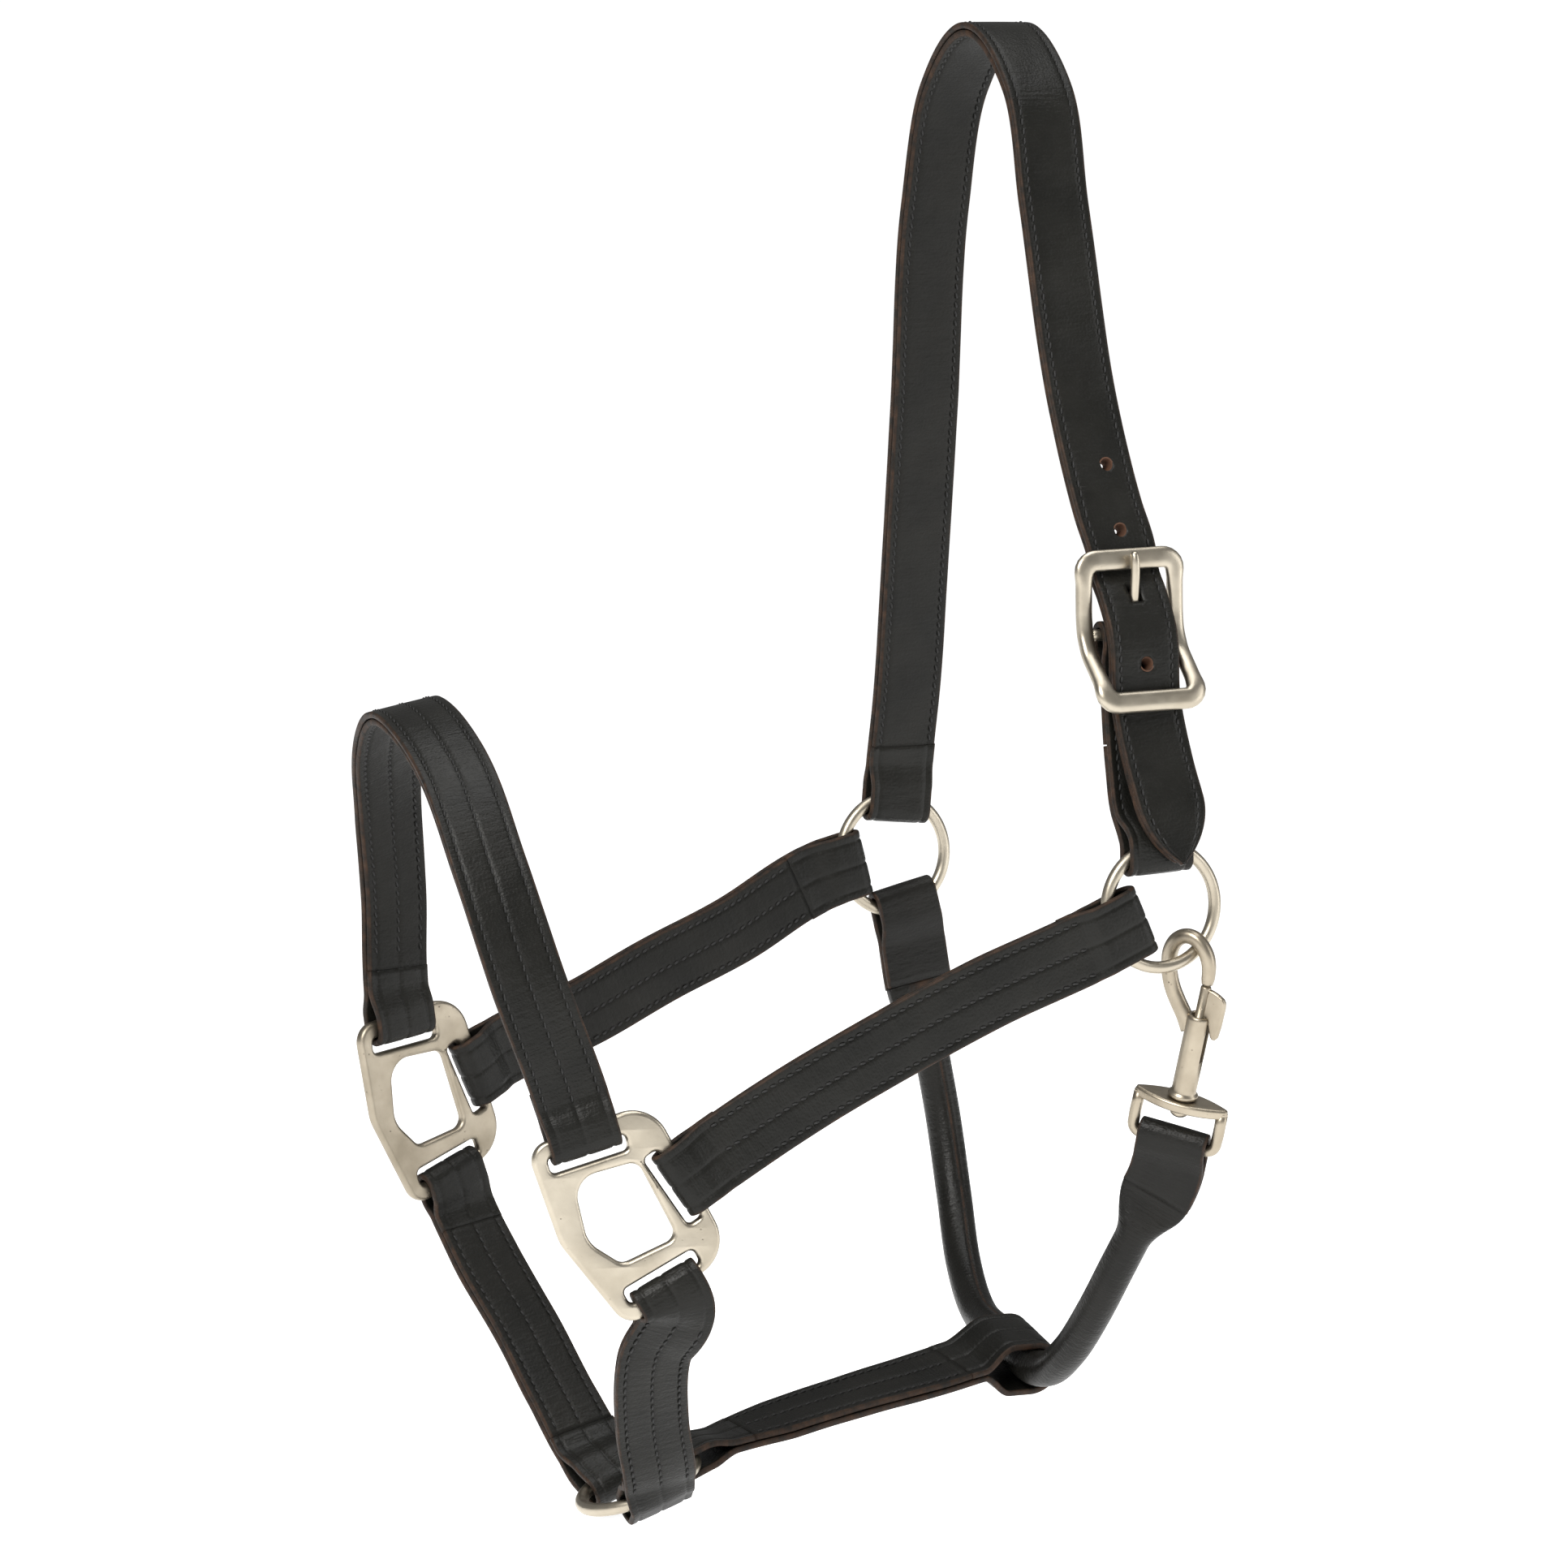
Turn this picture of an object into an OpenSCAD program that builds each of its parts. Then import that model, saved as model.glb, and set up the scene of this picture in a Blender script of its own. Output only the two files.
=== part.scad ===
// Leather headcollar for a full-size horse: black lined straps, two cheek rings, two cast squares,
// a lead ring, a one-inch buckle and a trigger snap on a rolled throat.
// Frame: +Z up, the nose toward -X, the near (left) side toward -Y, millimetres.
// The origin is the underside of the crown at the poll, where the headcollar hangs.

/* [Leather] */
// Width of every flat strap
strap_width = 25; // [20:30]
// Width of a strap where it folds round a ring
fold_width = 23.5; // [18:28]
// Thickness of one leather
leather = 2.4; // [1.5:0.1:3.5]
// Gap between the face leather and the lining
layer_gap = 0.2; // [0.1:0.1:0.5]
// Radius of the rolled throat
roll_radius = 6.3; // [5:0.1:8]
// Radius of the cord inside the rolled throat
cord_radius = 3.4; // [2:0.1:4.5]
// Radius of the punched holes
punch_radius = 2.3; // [1.5:0.1:3]
// Distance between punched holes
punch_pitch = 23; // [15:30]

/* [Rings] */
// Wire centre radius of a cheek ring
ring_radius = 20.4; // [15:0.1:25]
// Wire radius of a cheek ring
ring_wire = 2.1; // [1.5:0.1:3.5]
// Wire centre radius of the lead ring
lead_radius = 20.5; // [15:0.1:25]
// Wire radius of the lead ring
lead_wire = 2.3; // [1.5:0.1:3.5]

/* [Squares] */
// Thickness of a cast square
square_thick = 4; // [3:0.5:6]
// Width of a strap slot
slot_width = 5.6; // [4:0.1:7]
// Length of a strap slot
slot_length = 27; // [26:30]
// Yaw of the near square toward the nose
near_yaw = 12; // [0:20]
// Yaw of the far square toward the nose
far_yaw = 14; // [0:20]
// Roll of the far square in its own plane
far_roll = 8; // [0:15]

/* [Buckle] */
// Length of the buckle frame
buckle_length = 56; // [45:70]
// Width of the buckle frame
buckle_width = 40; // [36:46]
// Radius of the bar that the tongue turns on
centre_bar = 2; // [1.5:0.1:3]

/* [Snap] */
// Outer radius of the snap barrel
barrel_radius = 4.2; // [4:0.1:6]
// Radius of the bolt
bolt_radius = 1.8; // [1.5:0.1:3]
// Travel of the bolt
bolt_travel = 7; // [5:9]
// Clearance of the swivel pin in the eye
swivel_clearance = 0.05; // [0.02:0.01:0.1]

/* [Hidden] */
$fn = 48;
half_strap = strap_width / 2;
half_fold = fold_width / 2;
mid = (leather + layer_gap) / 2;
clear = 0.3;
near_ring_at = [5.4, -103, -290];
far_ring_at = [5.4, 103, -290];
near_square_at = [-181, -82, -385];
far_square_at = [-184, 82, -365.5];
lead_at = [-140.3, 0, -490];
lead_slope = 22;
buckle_at = [2.2, -86, -199.2];
eye_at = [19, -86.5, -371.7];
hook_turn = 14;
nose_slot = [106.5, 6.6, 20.1];
cheek_slot = [34.5, -2, 14.7];
chin_slot = [-61, 0, 21.5];
loop_start = 13.6;
ring_pocket = ring_wire + clear + leather / 2;
bar_pocket = square_thick / 2 + 2 * clear + leather / 2;

// ---- vectors and curves ----
function unit(v) = v / norm(v);
function mix(a, b, t) = a + (b - a) * t;
function ease(t) = (1 - cos(180 * t)) / 2;

// tangent at knot i of a list of points, weighted by the chords beside it
function knot_dir(p, i) =
    i == 0 ? unit(p[1] - p[0])
    : i == len(p) - 1 ? unit(p[i] - p[i - 1])
    : let (a = p[i] - p[i - 1], b = p[i + 1] - p[i])
      unit(a / pow(norm(a), 2) + b / pow(norm(b), 2));

function hermite(a, b, da, db, t) =
    let (t2 = t * t, t3 = t2 * t)
    (2 * t3 - 3 * t2 + 1) * a + (t3 - 2 * t2 + t) * da + (3 * t2 - 2 * t3) * b + (t3 - t2) * db;

// a curve is [points, outward normals, lengths from its start]
function smooth(knots, steps = 8) =
    let (
        p = [for (k = knots) k[0]],
        last = len(p) - 1,
        d = [for (i = [0 : last]) knot_dir(p, i)],
        pts = [
            for (i = [0 : last - 1])
                for (j = [0 : i == last - 1 ? steps : steps - 1])
                    let (chord = norm(p[i + 1] - p[i]))
                    hermite(p[i], p[i + 1], d[i] * chord, d[i + 1] * chord, j / steps)
        ],
        outs = [
            for (i = [0 : last - 1])
                for (j = [0 : i == last - 1 ? steps : steps - 1])
                    mix(knots[i][1], knots[i + 1][1], j / steps)
        ]
    )
    [pts, outs, lengths(pts)];

function lengths(pts) =
    [for (i = 0, s = 0; i < len(pts); s = s + (i < len(pts) - 1 ? norm(pts[i + 1] - pts[i]) : 0), i = i + 1) s];

function curve_length(c) = c[2][len(c[2]) - 1];

function span_of(c, s) =
    let (low = [for (i = [0 : len(c[2]) - 2]) if (c[2][i] <= s) i])
    len(low) == 0 ? 0 : low[len(low) - 1];

function point_dir(c, i) =
    let (n = len(c[0]) - 1)
    unit(c[0][min(i + 1, n)] - c[0][max(i - 1, 0)]);

// [point, along, outward, across] at a length along a curve; beyond the ends it runs straight on
function at(c, s) =
    let (
        i = span_of(c, s),
        t = (s - c[2][i]) / (c[2][i + 1] - c[2][i]),
        u = min(max(t, 0), 1),
        along = unit(mix(point_dir(c, i), point_dir(c, i + 1), u)),
        place = mix(c[0][i], c[0][i + 1], u) + along * ((t - u) * (c[2][i + 1] - c[2][i])),
        raw = mix(c[1][i], c[1][i + 1], u),
        out = unit(raw - (raw * along) * along)
    )
    [place, along, out, cross(along, out)];

// ---- sweeps ----
function chamfered(w, t, c = 0.5) = [
    [-w + c, -t], [w - c, -t], [w, -t + c], [w, t - c],
    [w - c, t], [-w + c, t], [-w, t - c], [-w, -t + c]
];

function loop_faces(rings, n) = concat(
    [[for (k = [n - 1 : -1 : 0]) k]],
    [
        for (r = [0 : rings - 2])
            for (k = [0 : n - 1])
                for (half = [0, 1])
                    let (a = r * n + k, b = r * n + (k + 1) % n)
                    half == 0 ? [a, b, a + n] : [b, b + n, a + n]
    ],
    [[for (k = [0 : n - 1]) (rings - 1) * n + k]]
);

module sweep(loops) {
    n = len(loops[0]);
    polyhedron(points = [for (l = loops) each l], faces = loop_faces(len(loops), n), convexity = 10);
}

// a leather follows path, a list of [length, height, half width] in the strap's own plane
function leather_loops(c, path) = [
    for (i = [0 : len(path) - 1])
        let (
            f = at(c, path[i][0]),
            a = path[max(i - 1, 0)],
            b = path[min(i + 1, len(path) - 1)],
            d = unit([b[0] - a[0], b[1] - a[1]]),
            thick = d[0] * f[2] - d[1] * f[1],
            centre = f[0] + f[2] * path[i][1]
        )
        [for (q = chamfered(path[i][2], leather / 2)) centre + f[3] * q[0] + thick * q[1]]
];

module leather_strip(c, path) {
    sweep(leather_loops(c, path));
}

module round_cord(c, from, to, radius, step, sides = 12) {
    count = max(2, ceil((to - from) / step));
    sweep([
        for (i = [0 : count])
            let (f = at(c, mix(from, to, i / count)))
            [for (k = [0 : sides - 1]) f[0] + f[3] * (radius * cos(k * 360 / sides)) + f[2] * (radius * sin(k * 360 / sides))]
    ]);
}

// ---- strap paths ----
// the end of a leather that folds round a bar: back along the inside, round, and out to the face
function fold_start(pocket, straight, close, back, w) = concat(
    [[back, -mid, half_strap]],
    back > close + 4 ? [[close + 3, -mid, half_strap]] : [],
    [for (i = [0 : 4]) [mix(close, straight, i / 4), -mix(mid, pocket, ease(i / 4)), mix(half_strap, w, i / 4)]],
    [
        for (i = [0 : 8])
            let (a = 270 - 180 * i / 8)
            [pocket - leather / 2 + pocket * cos(a), pocket * sin(a), w]
    ],
    [for (i = [0 : 4]) [mix(straight, close, i / 4), mix(pocket, mid, ease(i / 4)), mix(w, half_strap, i / 4)]]
);

function flipped(path, total) = [
    for (i = [len(path) - 1 : -1 : 0]) [total - path[i][0], path[i][1], path[i][2]]
];

// both leathers of a strap are cut at the same lengths, so that they follow each other round a bend
function cuts(from, to, step = 4.5) =
    [for (k = [ceil(from / step) : floor(to / step)]) k * step];

function straight_run(from, to, height) =
    [for (q = cuts(from + 1, to - 1)) [q, height, half_strap]];

// a face leather folded at both ends; each end is [pocket, straight, close, back, fold half width]
function face_path(total, first, second) = concat(
    fold_start(first[0], first[1], first[2], first[3], first[4]),
    straight_run(first[2], total - second[2], mid),
    flipped(fold_start(second[0], second[1], second[2], second[3], second[4]), total)
);

// a lining between the folded ends
function lining_path(total, first, second, drop) =
    let (from = first[3] + 1, to = total - second[3] - 1)
    [for (q = concat([from], cuts(from + 1, to - 1), [to])) [q, -mid - drop, half_strap - 0.3]];

ring_end = [ring_pocket, 9.5, 20, 26, half_fold];
loose_end = [ring_pocket, 14.5, 23, 28, half_fold];
slot_end = [bar_pocket, 7.5, 17, 23, half_strap - 0.5];
chin_end = [4.9, 12, 23, 28, half_fold];
lead_end = [lead_wire + clear + leather / 2, 10, 21, 27, half_fold];
jaw_loop_end = [roll_radius + 1.3 + leather / 2, 16, 30, 36, half_strap];
bar_end = [centre_bar + clear + leather / 2, 5, 13, 20, half_strap - 0.5];

// ---- places ----
function on_ring(centre, angle, r) = centre + r * [cos(angle), 0, sin(angle)];
function yaw_of(side) = side < 0 ? near_yaw : far_yaw;
function roll_of(side) = side < 0 ? 0 : far_roll;
function on_square(centre, side, x, z) =
    let (r = roll_of(side), u = x * cos(r) + z * sin(r), v = z * cos(r) - x * sin(r))
    centre + [u * cos(yaw_of(side)), side * u * sin(yaw_of(side)), v];
function plate_out(side) = [-sin(yaw_of(side)), side * cos(yaw_of(side)), 0];
// the middle of the strap that goes round a slot's outer bar, run mm out from the slot
function at_slot(side, slot, run) =
    let (r = slot[2] + slot_width - 0.95 + run, a = slot[0])
    on_square(
        side < 0 ? near_square_at : far_square_at, side,
        r * cos(a) - slot[1] * sin(a), r * sin(a) + slot[1] * cos(a)
    );

buckle_up = unit(near_ring_at * -1 + buckle_at);
buckle_out = unit([0, -1, 0] - ([0, -1, 0] * buckle_up) * buckle_up);
buckle_across = cross(buckle_up, buckle_out);
function by_buckle(u, v, w = 0) =
    buckle_at + u * buckle_up + v * buckle_out + w * buckle_across;

lead_ahead = [cos(lead_slope), 0, sin(lead_slope)];
lead_axis = [-sin(lead_slope), 0, cos(lead_slope)];
snap_up = unit([0.033, -0.346, 0.9375]);
eye_bar = unit([0.748, -0.6167, -0.2454] - ([0.748, -0.6167, -0.2454] * snap_up) * snap_up);
snap_in = cross(snap_up, eye_bar);

// ---- the centre line of each strap: [point, outward normal] ----
near_side = [0, -1, 0];
far_side = [0, 1, 0];

crown_curve = smooth([
    [on_ring(far_ring_at, 86, loop_start), far_side],
    [[7.4, 103, -264], far_side],
    [[6.4, 93, -228], [0, 0.97, 0.22]],
    [[3, 81, -192], [0, 0.97, 0.22]],
    [[-1.8, 63, -129], [0, 0.97, 0.22]],
    [[-5.8, 46, -57], [0, 0.95, 0.3]],
    [[-5.4, 32, -17], [0, 0.85, 0.55]],
    [[-6, 0, 2.6], [0, 0, 1]],
    [[-6.2, -32, -17], [0, -0.85, 0.55]],
    [[-6.6, -46, -57], [0, -0.95, 0.3]],
    [[-3, -62, -126], [0, -0.97, 0.22]],
    [by_buckle(42, -2, -2), [0, -0.97, 0.22]],
    [by_buckle(27, 0.2), buckle_out],
    [by_buckle(20.5, 0.5), buckle_out],
    [by_buckle(12, 4.4), buckle_out],
    [by_buckle(0, 8.4), buckle_out],
    [by_buckle(-24, 5.7), buckle_out],
    [by_buckle(-46, 7.6, 1.2), buckle_out],
    [by_buckle(-62, 11.6, 1.9), buckle_out],
    [by_buckle(-80, 12.6, 3), buckle_out]
]);
crown_total = curve_length(crown_curve);

chape_curve = smooth([
    [on_ring(near_ring_at, 96, loop_start), near_side],
    [on_ring(near_ring_at, 95, 24), near_side],
    [by_buckle(-60, 1, -1.8), buckle_out],
    [by_buckle(-45, 0, -1.5), buckle_out],
    [by_buckle(-14, 0), buckle_out],
    [by_buckle(centre_bar + clear, 0), buckle_out]
]);
chape_total = curve_length(chape_curve);

near_cheek_curve = smooth([
    [on_ring(near_ring_at, 205, loop_start - 4.6), near_side],
    [on_ring(near_ring_at, 204, 27), near_side],
    [[-59.5, -101, -316.6], near_side],
    [[-91.8, -98, -332], near_side],
    [[-125, -93, -350], [-0.1, -1, 0]],
    [at_slot(-1, cheek_slot, 14), plate_out(-1)],
    [at_slot(-1, cheek_slot, 0), plate_out(-1)]
]);
near_cheek_total = curve_length(near_cheek_curve);

far_cheek_curve = smooth([
    [on_ring(far_ring_at, 191, loop_start), far_side],
    [on_ring(far_ring_at, 193, 27), far_side],
    [[-59.7, 100, -315.2], far_side],
    [[-89.5, 96, -326.8], far_side],
    [[-119.5, 92, -340], [-0.1, 1, 0]],
    [at_slot(1, cheek_slot, 14), plate_out(1)],
    [at_slot(1, cheek_slot, 0), plate_out(1)]
]);
far_cheek_total = curve_length(far_cheek_curve);

nose_curve = smooth([
    [at_slot(-1, nose_slot, 0), plate_out(-1)],
    [at_slot(-1, nose_slot, 14), plate_out(-1)],
    [[-214.3, -77, -306], [-0.2, -0.96, 0.1]],
    [[-222, -66, -272], [-0.2, -0.88, 0.36]],
    [[-224, -42, -242], [-0.2, -0.62, 0.75]],
    [[-223.5, 0, -224.3], [-0.2, 0, 1]],
    [[-214, 42, -238.6], [-0.2, 0.62, 0.75]],
    [[-204, 66, -262.2], [-0.2, 0.88, 0.36]],
    [[-197.5, 77, -293.7], [-0.2, 0.96, 0.1]],
    [at_slot(1, nose_slot, 14), plate_out(1)],
    [at_slot(1, nose_slot, 0), plate_out(1)]
]);
nose_total = curve_length(nose_curve);

// the chin straps meet the lead ring at a slant, so that they hang from the squares
function lead_dir(angle) = cos(angle) * lead_ahead + sin(angle) * [0, 1, 0];
function chin_dir(angle) = cos(30) * lead_dir(angle) + sin(30) * lead_axis;
function chin_out(angle) = sin(30) * lead_dir(angle) - cos(30) * lead_axis;
function chin_end_at(angle, run) =
    lead_at + lead_radius * lead_dir(angle) + (run - 7.6) * chin_dir(angle) - 0.9 * chin_out(angle);

near_chin_curve = smooth([
    [at_slot(-1, chin_slot, 0), plate_out(-1)],
    [at_slot(-1, chin_slot, 8), plate_out(-1)],
    [[-165.2, -69, -435.4], [-0.15, -0.85, -0.5]],
    [[-157.8, -50.5, -460.8], [-0.03, -0.75, -0.65]],
    [chin_end_at(-97, 22), [0.05, -0.65, -0.75]],
    [chin_end_at(-97, 10), chin_out(-97)],
    [chin_end_at(-97, 0), chin_out(-97)]
]);
near_chin_total = curve_length(near_chin_curve);

far_chin_curve = smooth([
    [at_slot(1, chin_slot, 0), plate_out(1)],
    [at_slot(1, chin_slot, 11), plate_out(1)],
    [[-165, 75, -420], [-0.1, 0.95, -0.3]],
    [[-155, 60, -445.5], [0, 0.8, -0.6]],
    [[-149.5, 44, -466], [0, 0.75, -0.65]],
    [chin_end_at(93, 11), chin_out(93)],
    [chin_end_at(93, 0), chin_out(93)]
]);
far_chin_total = curve_length(far_chin_curve);

jaw_curve = smooth([
    [lead_at + 13.7 * lead_ahead, -lead_axis],
    [lead_at + 28 * lead_ahead, -lead_axis],
    [[-88, 0, -472.5], [0.2, 0.2, -0.95]],
    [[-58, 1, -466], [0.15, 0.26, -0.95]],
    [[-30, 3, -461], [0.1, 0.3, -0.94]],
    [[-8, 7.2, -457.6], [0, 0.3, -0.95]],
    [[16.2, 7.8, -457], [0, 0.3, -0.95]]
]);
jaw_total = curve_length(jaw_curve);

throat_curve = smooth([
    [on_ring(far_ring_at, 284, loop_start), far_side],
    [on_ring(far_ring_at, 284, 26), far_side],
    [[15, 103, -334], far_side],
    [[20, 103, -358], far_side],
    [[24, 100, -385], far_side],
    [[24, 91, -412], far_side],
    [[19.4, 74, -434], [0, 0.9, -0.4]],
    [[13.1, 48, -448.6], [0, 0.5, -0.85]],
    [[9.3, 21, -453.2], [0, 0.2, -1]],
    [[8.6, 8, -457], [0, 0.1, -1]],
    [[8.4, -4, -459.9], [0, 0, -1]],
    [[8.6, -13, -459.2], [0, -0.1, -1]],
    [[7.5, -32, -450.5], [-0.1, -0.5, -0.85]],
    [[8, -50, -434.3], [-0.3, -0.6, -0.6]],
    [[10.6, -63, -416.5], -snap_in],
    [[14.4, -73.4, -399.5], -snap_in],
    [eye_at - 13 * snap_up, -snap_in],
    [eye_at + 3.4 * snap_up, -snap_in]
]);
throat_total = curve_length(throat_curve);

// ---- headpiece ----
// the billet narrows to a point over its last part
function billet_half(s) =
    let (t = (s - (crown_total - 22)) / 22)
    t <= 0 ? half_strap : half_strap * max(0.08, pow(1 - pow(min(t, 1), 2), 0.85));

module crown_strap() {
    first = fold_start(ring_end[0], ring_end[1], ring_end[2], ring_end[3], ring_end[4]);
    run_to = crown_total - 22;
    count = 96;
    path = concat(
        first,
        [for (i = [1 : count]) [mix(ring_end[2], run_to, i / count), mid, half_strap]],
        [for (i = [1 : 6]) let (s = run_to + 22 * i / 6) [s, mid, billet_half(s)]]
    );
    color("#1b1a19") difference() {
        leather_strip(crown_curve, path);
        crown_holes();
    }
}

module crown_lining() {
    from = ring_end[3] + 1;
    run_to = crown_total - 22;
    count = 90;
    path = concat(
        [for (i = [0 : count]) [mix(from, run_to, i / count), -mid, half_strap - 0.3]],
        [for (i = [1 : 6]) let (s = run_to + 21 * i / 6) [s, -mid, billet_half(s) - 0.3]]
    );
    color("#2a2623") difference() {
        leather_strip(crown_curve, path);
        crown_holes();
    }
}

// places local +X across, +Y inward and +Z up the strap at the buckle
module buckle_place() {
    multmatrix([
        for (i = [0 : 2]) [buckle_across[i], -buckle_out[i], buckle_up[i], buckle_at[i]]
    ]) children();
}

// the punched holes, and the slanted hole that the tongue comes up through
module crown_holes() {
    buckle_place() {
        for (row = [[-0.5, 7.5, 8], [1.5, 0.5, 0], [2.5, -2.5, 0]])
            translate([0, -row[1], row[0] * punch_pitch]) rotate([90, 0, 0])
                cylinder(r = punch_radius, h = 16, center = true, $fn = 24);
        translate([-2.3, 0, 0]) rotate([90, 0, 90])
            linear_extrude(4.6) polygon([[-0.9, 3], [-4.2, 0.2], [-13.2, 21.5], [-13.6, 27], [-7.2, 27], [-7.2, 22.6]]);
    }
}

module buckle_strap() {
    back = chape_total / 2 + 1;
    near_ring_part = fold_start(ring_end[0], ring_end[1], ring_end[2], back, ring_end[4]);
    bar_part = fold_start(bar_end[0], bar_end[1], bar_end[2], chape_total - back - 0.6, bar_end[4]);
    path = concat(
        near_ring_part,
        straight_run(ring_end[2], chape_total - bar_end[2], mid),
        flipped(bar_part, chape_total)
    );
    color("#1b1a19") difference() {
        leather_strip(chape_curve, path);
        buckle_place() translate([-3, -9, -4.6]) cube([6, 18, 12]);
    }
}

module buckle_profile() {
    // height of the frame over the strap, along the strap: the lower end stands up as a keeper
    low = [[28, -7.9], [15, -5.6], [2, -2.9], [-6, -3.6], [-19, -12.2], [-28, -14]];
    high = [[-28, -10], [-19.6, -9.2], [-13, -3], [-8, 1], [0, 2.3], [12, -0.4], [19, -3.6], [28, -4.5]];
    polygon([for (q = concat(low, high)) [q[1], q[0]]]);
}

module rounded_plan(w, l, r) {
    hull()
        for (x = [-1, 1], z = [-1, 1])
            translate([x * (w / 2 - r), z * (l / 2 - r)]) circle(r);
}

module buckle_frame() {
    color("#c9c0ae") buckle_place() {
        intersection() {
            rotate([90, 0, 0]) translate([0, 0, -10]) linear_extrude(30)
                difference() {
                    rounded_plan(buckle_width, buckle_length, 6);
                    rounded_plan(28.4, buckle_length - 15, 3);
                }
            translate([-buckle_width / 2 - 1, 0, 0]) rotate([90, 0, 90])
                linear_extrude(buckle_width + 2) buckle_profile();
        }
        rotate([0, 90, 0]) cylinder(r = centre_bar, h = 30, center = true);
    }
}

// the tongue: an eye round the centre bar and a tapered pin that rests on the top bar
module buckle_tongue() {
    color("#d0c8b8") buckle_place() difference() {
        union() {
            rotate([0, 90, 0]) cylinder(r = 3.6, h = 4.4, center = true);
            translate([-1.7, 0, 0]) rotate([90, 0, 90])
                linear_extrude(3.4) polygon([
                    [-1.6, 3.1], [-7.9, 22.5], [-7.9, 26.6], [-9.1, 27.2],
                    [-10.6, 26.4], [-10.7, 22.5], [-3.5, 0.8]
                ]);
        }
        rotate([0, 90, 0]) cylinder(r = centre_bar + 0.05, h = 8, center = true);
    }
}

// ---- rings ----
module wire_ring(radius, wire) {
    // the outer edge is worn to a narrow flat
    rotate_extrude($fn = 96) intersection() {
        translate([radius, 0]) circle(wire, $fn = 32);
        translate([radius - wire - 1, -wire - 1]) square([2 * wire + 0.95, 2 * wire + 2]);
    }
}

module near_ring() {
    color("#cfc6b4") translate(near_ring_at) rotate([90, 0, 0]) wire_ring(ring_radius, ring_wire);
}

module far_ring() {
    color("#cfc6b4") translate(far_ring_at) rotate([90, 0, 0]) wire_ring(ring_radius, ring_wire);
}

module lead_ring() {
    color("#cfc6b4") translate(lead_at) rotate([0, -lead_slope, 0]) wire_ring(lead_radius, lead_wire);
}

// ---- squares ----
module slot(angle, across, inner) {
    rotate(angle) translate([inner + slot_width / 2, across]) hull()
        for (y = [-1, 1])
            translate([0, y * (slot_length - slot_width) / 2]) rounded_plan(slot_width, slot_width, 1.6);
}

module square_outline() {
    difference() {
        hull() {
            translate([-24.5, 18]) circle(7);
            translate([2, 21]) circle(13);
            translate([18.5, -9.5]) circle(13);
            translate([2, -28.5]) circle(7);
            translate([-9.5, -2.5]) circle(14.3);
        }
        hull() {
            translate([-8.2, 6]) circle(8);
            translate([-4, -3]) circle(10);
            translate([1.5, 12]) circle(4.5);
            translate([12, -6.5]) circle(3.8);
            translate([-1, -11.5]) circle(4.5);
        }
        for (one = [nose_slot, cheek_slot, chin_slot])
            slot(one[0], one[1], one[2]);
    }
}

module square_plate() {
    rotate([90, 0, 0]) linear_extrude(square_thick, center = true) square_outline();
}

module near_square() {
    color("#d6cdbd") translate(near_square_at) rotate([0, 0, -near_yaw]) square_plate();
}

module far_square() {
    color("#b3a995") translate(far_square_at) rotate([0, 0, far_yaw]) rotate([0, far_roll, 0]) square_plate();
}

// ---- flat straps of the nose part ----
module face_leather(c, first, second) {
    color("#1d1c1b") leather_strip(c, face_path(curve_length(c), first, second));
}

module lining_leather(c, first, second, drop = 0) {
    color("#2a2623") leather_strip(c, lining_path(curve_length(c), first, second, drop));
}

module near_cheek_strap() { face_leather(near_cheek_curve, loose_end, slot_end); }
module near_cheek_lining() { lining_leather(near_cheek_curve, loose_end, slot_end); }
module far_cheek_strap() { face_leather(far_cheek_curve, ring_end, slot_end); }
module far_cheek_lining() { lining_leather(far_cheek_curve, ring_end, slot_end); }
module nose_strap() { face_leather(nose_curve, slot_end, slot_end); }
module nose_lining() { lining_leather(nose_curve, slot_end, slot_end); }
module near_chin_strap() { face_leather(near_chin_curve, slot_end, chin_end); }
module near_chin_lining() { lining_leather(near_chin_curve, slot_end, chin_end, 0.3); }
module far_chin_strap() { face_leather(far_chin_curve, slot_end, chin_end); }
module far_chin_lining() { lining_leather(far_chin_curve, slot_end, chin_end); }
module jaw_strap() { face_leather(jaw_curve, lead_end, jaw_loop_end); }
module jaw_lining() { lining_leather(jaw_curve, lead_end, jaw_loop_end); }

// ---- throat ----
// half width, half thickness and squareness of the throat at a length along it
function throat_section(s) =
    let (
        a = min(max((s - 34) / 28, 0), 1),
        b = min(max((throat_total - 24 - s) / 20, 0), 1),
        t = ease(min(a, b))
    )
    [mix(half_strap - 0.2, roll_radius, t), mix(leather + 0.05, roll_radius, t), mix(0.35, 1, t)];

// a section of the rolled leather: round the outside, then back round the inside, open at the seam
function rolled_section(s, n = 16) =
    let (
        q = throat_section(s),
        turn = [for (k = [0 : n - 1]) -86 + 352 * k / (n - 1)],
        inner = [max(q[0] - 2.85, 3.45), max(q[1] - 2.85, 0.08)]
    )
    concat(
        [for (a = turn) superpoint(q[0], q[1], q[2], a)],
        [for (k = [n - 1 : -1 : 0]) superpoint(inner[0], inner[1], q[2], turn[k])]
    );

function superpoint(w, t, power, a) =
    [w * sign(cos(a)) * pow(abs(cos(a)), power), t * sign(sin(a)) * pow(abs(sin(a)), power)];

// the end of a rolled leather is a strip, so its end faces are cut into triangles
function strip_end(base, n, front) = [
    for (k = [0 : n / 2 - 2])
        for (half = [0, 1])
            let (a = base + k, b = base + n - 1 - k, t = half == 0 ? [a, b, a + 1] : [a + 1, b, b - 1])
            front ? t : [t[2], t[1], t[0]]
];

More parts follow.
